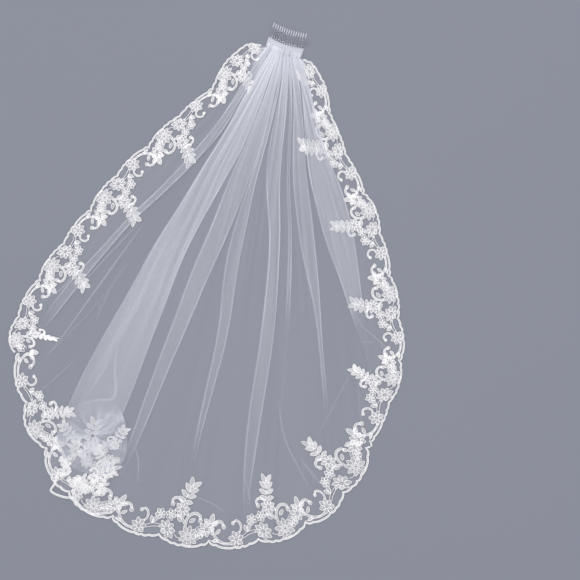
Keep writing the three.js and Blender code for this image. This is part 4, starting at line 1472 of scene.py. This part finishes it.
@dataclass
class LaceTrim:
    """The corded lace all round the edge, and the crumpled sprays of it on the corner."""

    plan: VeilPlan
    bag: CornerBag
    under: float = 1.5
    sink: float = 0.35
    margin: float = 1.0
    depth: float = 134.0
    length: float = 200.0
    least_scale: float = 0.62
    side_growth: float = 1.14
    hem_growth: float = 1.07
    flower_height: float = 0.6
    leaf_height: float = 0.55
    scroll_height: float = 0.45
    stem_height: float = 0.4
    cord_share: float = 0.92
    loose_cord_share: float = 0.85
    stitch: float = 0.95
    border_stitch: float = 1.05
    loose_stitch: float = 0.85
    border_step: float = 1.8
    border_height: float = 0.55
    band_start: float = 0.5
    band_width: float = 3.3
    outer_cord: float = 0.7
    inner_cord: float = 0.55
    sub_lobe: float = 3.1
    sub_lobes: int = 9
    lobe_drift: float = 0.35
    drift_waves: int = 3
    arch: float = 0.35
    ridge: float = 0.4
    start_room: float = 3.0
    end_room: float = 1.0
    spare_depth: float = 8.0
    flap_height: float = 1.7
    flap_cord: float = 0.62
    under_bag: float = 0.7
    over_bag: float = -0.9

    def __post_init__(self) -> None:
        """Draws each motif of the repeat by itself, in groups by part."""
        self.groups: dict[Part, list[LaceMotif]] = {part: [] for part in Part}

        def drawn(part: Part, anchor: Spot, grows: bool = False) -> LaceMotif:
            """Starts a motif at its anchor."""
            motif = LaceMotif(anchor, grows)
            self.groups[part].append(motif)
            return motif

        for number, row in enumerate(FLOWERS):
            drawn(row.part, row.at, True).flower(row, self.flower_height + 0.15 * (number % 3))
        for row in LEAVES:
            leaf = drawn(row.part, row.tip, True)
            leaf.outline(np.array(row.root), np.array(row.tip), row.width, self.leaf_height)
        for row in SCROLLS:
            drawn(row.part, row.route[len(row.route) // 2]).scroll(row, self.scroll_height)
        for row in STEMS:
            drawn(row.part, row.route[-1]).stem(row, self.stem_height)

    def place(self, points: np.ndarray, origin: float, scale: float) -> np.ndarray:
        """Takes points of the flat repeat to the veil's edge.

        Args:
            points: Along, depth and height, in the repeat's sizes.
            origin: Where the repeat starts along the edge.
            scale: The repeat's length against its full length.

        Returns:
            Points over the floor.
        """
        along = origin + points[..., 0] * scale
        deep = np.maximum(self.plan.lace_reach(along) / self.depth, self.least_scale)
        depth = points[..., 1] * deep
        follow = 1 - smooth(points[..., 1], 0, self.plan.scallop_follow)
        flat = self.plan.from_edge(along, self.margin + depth - self.plan.scallop(along) * follow)
        return with_height(flat, self.under + points[..., 2] + self.plan.billow(flat) - self.sink)

    def stitches(self, maker: MeshMaker, bars: np.ndarray, width: float) -> None:
        """Adds stitches, each a small arched strip with a raised middle.

        Args:
            maker: The mesh.
            bars: For each stitch its two ends, two rows of three.
            width: How wide a stitch is.
        """
        steps = np.array([0.0, 0.33, 0.67, 1.0])
        line = bars[:, 0:1] + (bars[:, 1:2] - bars[:, 0:1]) * steps[None, :, None]
        run = bars[:, 1] - bars[:, 0]
        run[:, 2] = 0
        run /= np.maximum(np.linalg.norm(run, axis=1, keepdims=True), 1e-9)
        aside = np.stack([-run[:, 1], run[:, 0], np.zeros(len(run))], -1)[:, None] * (width / 2)
        up = np.array([0, 0, 1.0])
        middle = line + np.array([0.0, self.arch, self.arch, 0.0])[None, :, None] * up
        places = np.stack(np.broadcast_arrays(steps[:, None] * 4, np.array([0, 0.25, 0.5])[None]), -1)
        for strip in np.stack([middle + aside, middle + up * (width * self.ridge), middle - aside], 2):
            maker.grid(strip, places)

    def fits(self, motif: LaceMotif, run: LaceRun, along: float) -> bool:
        """Whether a motif lies in a stretch of lace, and the lace is deep enough for it there."""
        inside = run.start + self.start_room < along < run.end - self.end_room
        needed = motif.anchor.y * self.least_scale
        return inside and needed <= self.plan.lace_reach(along) + self.spare_depth

    def run_of_lace(self, run: LaceRun, maker: MeshMaker) -> None:
        """Adds one stretch of lace: its motifs, repeat after repeat, and its scalloped border."""
        scale = run.repeat / self.length
        growth = self.side_growth if run.scallop < 1 else self.hem_growth
        motifs = [motif for group in self.groups.values() for motif in group]
        first = math.floor((run.start - run.scroll) / run.repeat)
        last = math.ceil((run.end - run.scroll) / run.repeat)
        for index in range(first, last + 1):
            origin = run.scroll + index * run.repeat
            bars = []
            for motif in motifs:
                if not self.fits(motif, run, origin + motif.anchor.x * scale):
                    continue
                grow = growth if motif.grows else 1.0
                size = np.array([grow, grow, 1.0])
                shift = np.array([*motif.anchor, 0.0]) * (1 - size)
                for line, radius, closed in motif.cords:
                    laid = self.place(line * size + shift, origin, scale)
                    maker.cord(laid, radius * self.cord_share, closed=closed)
                bars += [bar * size + shift for bar in motif.bars]
            if bars:
                self.stitches(maker, self.place(np.array(bars), origin, scale), self.stitch)
        self.border(run, maker)

    def border(self, run: LaceRun, maker: MeshMaker) -> None:
        """Adds the border: a stitched band between two cords along the scallops."""
        along = np.arange(run.start + 1, run.end - 0.5, self.border_step)
        scale = run.repeat / self.length
        phase = np.mod((along - run.scroll) / run.repeat - self.plan.lobe_phase, 1)
        drift = self.lobe_drift * np.sin(2 * np.pi * phase * self.drift_waves)
        small = np.abs(np.sin(np.pi * (phase * self.sub_lobes + drift))) ** 0.5
        out = self.plan.scallop(along) + self.sub_lobe * (small - 0.5) * scale
        inner = self.band_start + self.band_width * scale
        lines = []
        for deep, radius in ((self.band_start, self.outer_cord), (inner, self.inner_cord)):
            flat = self.plan.from_edge(along, self.margin * 0.3 + deep - out)
            height = self.under + self.border_height + self.plan.billow(flat) - self.sink
            lines.append(with_height(flat, height))
            maker.cord(lines[-1], radius * scale)
        self.stitches(maker, np.stack(lines, 1), self.border_stitch)

    def flap(self, maker: MeshMaker) -> None:
        """Adds the border of the flap over the corner."""
        line = evenly(soft_line(FLAP_SPOTS, 10), self.border_step) - ORIGIN
        out = sideways(line) * self.band_width / 2
        sides = [with_height(line + out * side, self.under + self.flap_height) for side in (-1, 1)]
        for side in sides:
            maker.cord(side, self.flap_cord)
        self.stitches(maker, np.stack(sides, 1), self.border_stitch)

    def loose(self, maker: MeshMaker, row: LooseLace, above: bool) -> None:
        """Adds a part that lies over or under the corner's bag."""
        turn = math.radians(row.turn)
        spin = np.array([[math.cos(turn), math.sin(turn)], [-math.sin(turn), math.cos(turn)]])

        def put(points: np.ndarray) -> np.ndarray:
            """Turns points of the repeat and lays them on the heap."""
            turned = (points[..., :2] - PART_MIDDLES[row.part]) @ spin
            flat = turned * row.scale + np.array(row.at) - ORIGIN
            bed = self.bag.top(flat) + self.over_bag if above else self.under + self.under_bag
            return with_height(flat, bed + points[..., 2])

        for motif in self.groups[row.part]:
            for line, radius, closed in motif.cords:
                maker.cord(put(line), radius * self.loose_cord_share, sides=4, closed=closed)
        bars = [bar for motif in self.groups[row.part] for bar in motif.bars]
        self.stitches(maker, put(np.array(bars)), self.loose_stitch)

    def build(self, material: bpy.types.Material) -> list[bpy.types.Object]:
        """Makes the lace.

        Args:
            material: The thread.

        Returns:
            One piece for each stretch, each standing for its plate.
        """
        made = []
        for run in LACE_RUNS:
            maker = MeshMaker()
            self.run_of_lace(run, maker)
            if run.name == "lace_hem":
                for row in OVER_BAG:
                    self.loose(maker, row, above=True)
                for row in UNDER_BAG:
                    self.loose(maker, row, above=False)
                self.flap(maker)
            piece = maker.piece(run.name + "_thread", material)
            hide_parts(run.name)
            made.append(piece)
        return made


def rounded(wave: np.ndarray, power: float) -> np.ndarray:
    """Bends a wave between -1 and 1 to a squarer or rounder one."""
    return np.sign(wave) * np.abs(wave) ** power


@dataclass
class HeaderBinding:
    """The folded strip that the gathers are caught in."""

    plan: VeilPlan
    depth: float = 20.0
    end_height: float = 3.0
    crown: float = 4.5
    gap: float = 0.3
    bed: float = 0.15
    thinner: float = 0.2
    tuck_depth: float = 0.75
    ripple: float = 0.35
    steps: int = 90
    around: int = 44
    tucks: int = 4
    squareness: float = 0.7
    roundness: float = 0.75
    # How far the tucks wander along the header, and over how many turns.
    wander: float = 2.2
    wander_turns: float = 2.1
    # The ripples' turns along the header and across it.
    ripple_turns: tuple[float, float] = (46, 5)
    end_narrowing: float = 0.1
    end_power: int = 14
    end_hole: float = 0.05

    def height(self, u: Any) -> np.ndarray:
        """The roll's height along the header."""
        return self.end_height + self.crown * 4 * u * (1 - u)

    def top(self, u: Any, back: float) -> np.ndarray:
        """The height of the roll's top, without its tucks, at a distance from the header line."""
        lean = abs(2 * back / self.depth - 1) ** (1 / self.squareness)
        rise = (1 - lean * lean) ** (self.roundness / 2)
        return self.bed + (0.5 + 0.5 * rise) * (self.height(u) - self.thinner)

    def build(self, material: bpy.types.Material) -> bpy.types.Object:
        """Makes the binding as a rounded roll with tucks along it.

        Args:
            material: The rolled tulle.

        Returns:
            The piece, which stands for the binding's solid.
        """
        u = np.linspace(0, 1, self.steps + 1)[:, None]
        turn = np.linspace(0, 2 * np.pi, self.around, endpoint=False)[None]
        ends = np.sqrt(np.clip(1 - (2 * np.abs(u - 0.5)) ** self.end_power, 0.05, 1))
        rise = rounded(np.sin(turn), self.roundness)
        inward = 1 - self.end_narrowing + self.end_narrowing * ends
        back = 0.5 + 0.5 * rounded(np.cos(turn), self.squareness) * inward
        drift = self.wander * np.sin(self.wander_turns * u)
        tuck = np.abs(np.sin(np.pi * self.tucks * back + drift)) ** 0.5
        along, across = self.ripple_turns
        ripple = self.ripple * np.sin(along * u + across * back) * (1 - back)
        up = 0.5 + 0.5 * rise * ends
        top = (rise > 0) * np.sin(np.pi * np.clip(back, 0, 1))
        flat = self.plan.header(
            np.broadcast_to(u, back.shape), self.gap + back * (self.depth - self.gap)
        )
        z = self.bed + up * (self.height(u) - self.thinner)
        z = z - (1 - tuck) * self.tuck_depth * top + ripple * top
        body = with_height(flat, z)
        places = np.stack(np.broadcast_arrays(u, np.linspace(0, 1, self.around + 1)[None]), -1)
        first, last = (end.mean(1, keepdims=True) for end in (body[:1], body[-1:]))
        first, last = first + (body[:1] - first) * self.end_hole, last + (body[-1:] - last) * self.end_hole
        body = np.concatenate([first, body, last])
        places = np.concatenate([places[:1], places, places[-1:]])
        maker = MeshMaker()
        maker.grid(body, places, 1.0, round_it=True)
        made = maker.piece("folded_binding", material)
        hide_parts("header_binding")
        return made


@dataclass
class HairComb:
    """The clear comb: a rounded, bowed spine with tapered teeth that slant up."""

    plan: VeilPlan
    width: float = 74.0
    lift: float = 4.5
    radius: float = 1.9
    round_end: float = 0.05
    teeth: int = 15
    teeth_span: float = 0.97
    tooth: float = 36.0
    tilt: float = math.radians(48)
    root: float = 1.25
    tip: float = 0.75
    blunt: float = 0.07
    sway: float = 0.25
    back: float = 22.2
    thread: float = 0.24
    loop: float = 2.3
    loop_foot: float = 4.6
    loop_turn: tuple[float, float] = (-0.55 * math.pi, 1.15 * math.pi)
    sway_turn: float = 2.3

    def spine(self, share: Any) -> np.ndarray:
        """A point of the spine's middle line, share from -1 left to 1 right."""
        share = np.asarray(share, float)
        u = 0.5 + share * self.width / np.linalg.norm(self.plan.header_run) / 2
        return with_height(self.plan.header(u, self.back), self.radius + self.lift * (1 - share**2))

    def build(self, material: bpy.types.Material) -> bpy.types.Object:
        """Makes the comb.

        Args:
            material: The clear plastic.

        Returns:
            The piece, which stands for the comb's solid.
        """
        maker = MeshMaker()
        ends = 1 - np.geomspace(1e-3, self.round_end, 6)
        share = np.r_[-ends, np.linspace(-0.94, 0.94, 60), ends[::-1]]
        straight = 1 - self.round_end
        curve = (np.abs(share) - straight) ** 2 / self.round_end**2
        size = self.radius * np.sqrt(np.clip(1 - curve, 0.02, 1))
        size[np.abs(share) < straight] = self.radius
        maker.cord(self.spine(share), size, sides=16, share=0.0)
        slant = np.array([*(self.plan.to_comb * math.cos(self.tilt)), math.sin(self.tilt)])
        reach = np.r_[np.linspace(-0.03, 0.9, 14), 0.94, 0.97, 0.99, 1.0]
        shown = np.clip(reach, 0, 1)
        girth = self.root + (self.tip - self.root) * shown
        girth *= np.sqrt(np.clip(1 - np.clip((reach - (1 - self.blunt)) / self.blunt, 0, 1) ** 2, 0.01, 1))
        for number in range(self.teeth):
            line = self.spine((2 * (number + 0.5) / self.teeth - 1) * self.teeth_span)
            line = line + slant * (self.tooth * reach)[:, None]
            sway = self.sway * np.sin(number * self.sway_turn) * shown**2
            line[:, :2] += self.plan.across * sway[:, None]
            # Each tooth's plies carry its reach from root to tip; the plastic uses them to paint its
            # highlight on the outer stretch.
            maker.cord(line, girth, sides=10, share=reach)
        made = maker.piece("clear_comb", material)
        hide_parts("comb")
        return made

    def lashing(self, material: bpy.types.Material) -> bpy.types.Object:
        """Makes the thread that sews the comb's spine to the binding.

        Args:
            material: The thread.

        Returns:
            The piece.
        """
        maker = MeshMaker()
        turn = np.linspace(*self.loop_turn, 14)
        for number in range(1, self.teeth):
            middle = self.spine((2 * number / self.teeth - 1) * self.teeth_span)
            loop = middle + with_height(
                self.plan.to_comb * np.cos(turn)[:, None] * self.loop, np.sin(turn) * self.loop
            )
            start = middle + np.array([*(-self.plan.to_comb * self.loop_foot), 0.6])
            line = np.vstack([start, loop[::-1], start + np.array([*(self.plan.across * 0.5), 0.3])])
            maker.cord(evenly(soft_line(line, 4), 0.8), self.thread)
        made = maker.piece("comb_stitches", material)
        return made


class Lamp(NamedTuple):
    """A round soft light: where it hangs in metres, how wide it is and its power in watts."""

    name: str
    place: tuple[float, float, float]
    size: float
    power: float


LAMPS = [
    Lamp("key", (-1.4, 2.3, 4.7), 1.8, 100.0),
    Lamp("overhead", (1.1, -0.3, 5.2), 4.0, 132.0),
]


@dataclass
class Studio:
    """The plain floor, the soft light and the camera over the veil, in metres."""

    picture_width: float = 1.16
    camera_height: float = 3.0
    sensor: float = 36.0
    clip_end: float = 50.0
    # The picture's middle, from the origin.
    middle: tuple[float, float] = (0.1667, -0.0063)
    floor_size: float = 30.0
    # The floor lies this many millimetres below the cloth.
    floor_drop: float = 0.4
    sky: str = "#F2F3F8"
    sky_strength: float = 0.62

    def floor(self) -> None:
        """Lays the paper floor."""
        maker = MeshMaker()
        half = self.floor_size / MM / 2
        line = np.linspace(-half, half, 9)
        flat = np.stack(np.meshgrid(line, line), -1)
        maker.grid(with_height(flat, -self.floor_drop), flat)
        made = maker.piece("paper_floor", MattPaper().make())
        made.parent = None

    def lights(self) -> None:
        """Hangs the lamps and fills the rest from the sky."""
        for row in LAMPS:
            lamp = bpy.data.lights.new(row.name, "AREA")
            lamp.shape = "DISK"
            lamp.size = row.size
            lamp.energy = row.power
            made = bpy.data.objects.new(row.name, lamp)
            made.location = row.place
            aim = np.array([*self.middle, 0.0]) - np.array(row.place)
            made.rotation_mode = "QUATERNION"
            made.rotation_quaternion = Vector(aim).to_track_quat("-Z", "Y")
            bpy.context.scene.collection.objects.link(made)
        world = bpy.data.worlds.new("sky")
        world.use_nodes = True
        back = world.node_tree.nodes["Background"]
        connect(world.node_tree, back, {"Color": linear(self.sky), "Strength": self.sky_strength})
        bpy.context.scene.world = world

    def camera(self) -> None:
        """Sets the camera straight over the picture's middle."""
        eye = bpy.data.cameras.new("camera")
        eye.type = "PERSP"
        eye.sensor_width = self.sensor
        eye.lens = self.sensor * self.camera_height / self.picture_width
        eye.clip_end = self.clip_end
        made = bpy.data.objects.new("camera", eye)
        made.location = (*self.middle, self.camera_height)
        bpy.context.scene.collection.objects.link(made)
        bpy.context.scene.camera = made
        bpy.context.scene.view_settings.view_transform = "Standard"

    def build(self) -> None:
        """Sets up the whole studio."""
        self.camera()
        self.floor()
        self.lights()


@dataclass
class BridalVeil:
    """The whole veil, with the cut of its cloth in metres."""

    # The sheet before it was gathered: an oblong with rounded lower corners.
    cut: tuple[float, float] = (1.45, 1.02)
    cut_area: float = 1.24
    bag_cut: tuple[float, float] = (0.34, 0.20)

    def build(self) -> None:
        plan = VeilPlan()
        tulle = NylonTulle().make()
        thread = CordedLace().make()
        bag = CornerBag(plan)
        comb = HairComb(plan)
        comb.build(ClearPlastic().make())
        comb.lashing(thread)
        binding = HeaderBinding(plan).build(BoundTulle().make())
        sheet = TulleSheet(plan).build(tulle)
        corner = bag.build(tulle)
        lace = LaceTrim(plan, bag).build(thread)


def main() -> None:
    """Builds the studio and the veil."""
    logging.basicConfig(level=logging.INFO)
    bpy.context.scene.cycles.transparent_max_bounces = 24
    Studio().build()
    BridalVeil().build()


if __name__ == "__main__":
    main()
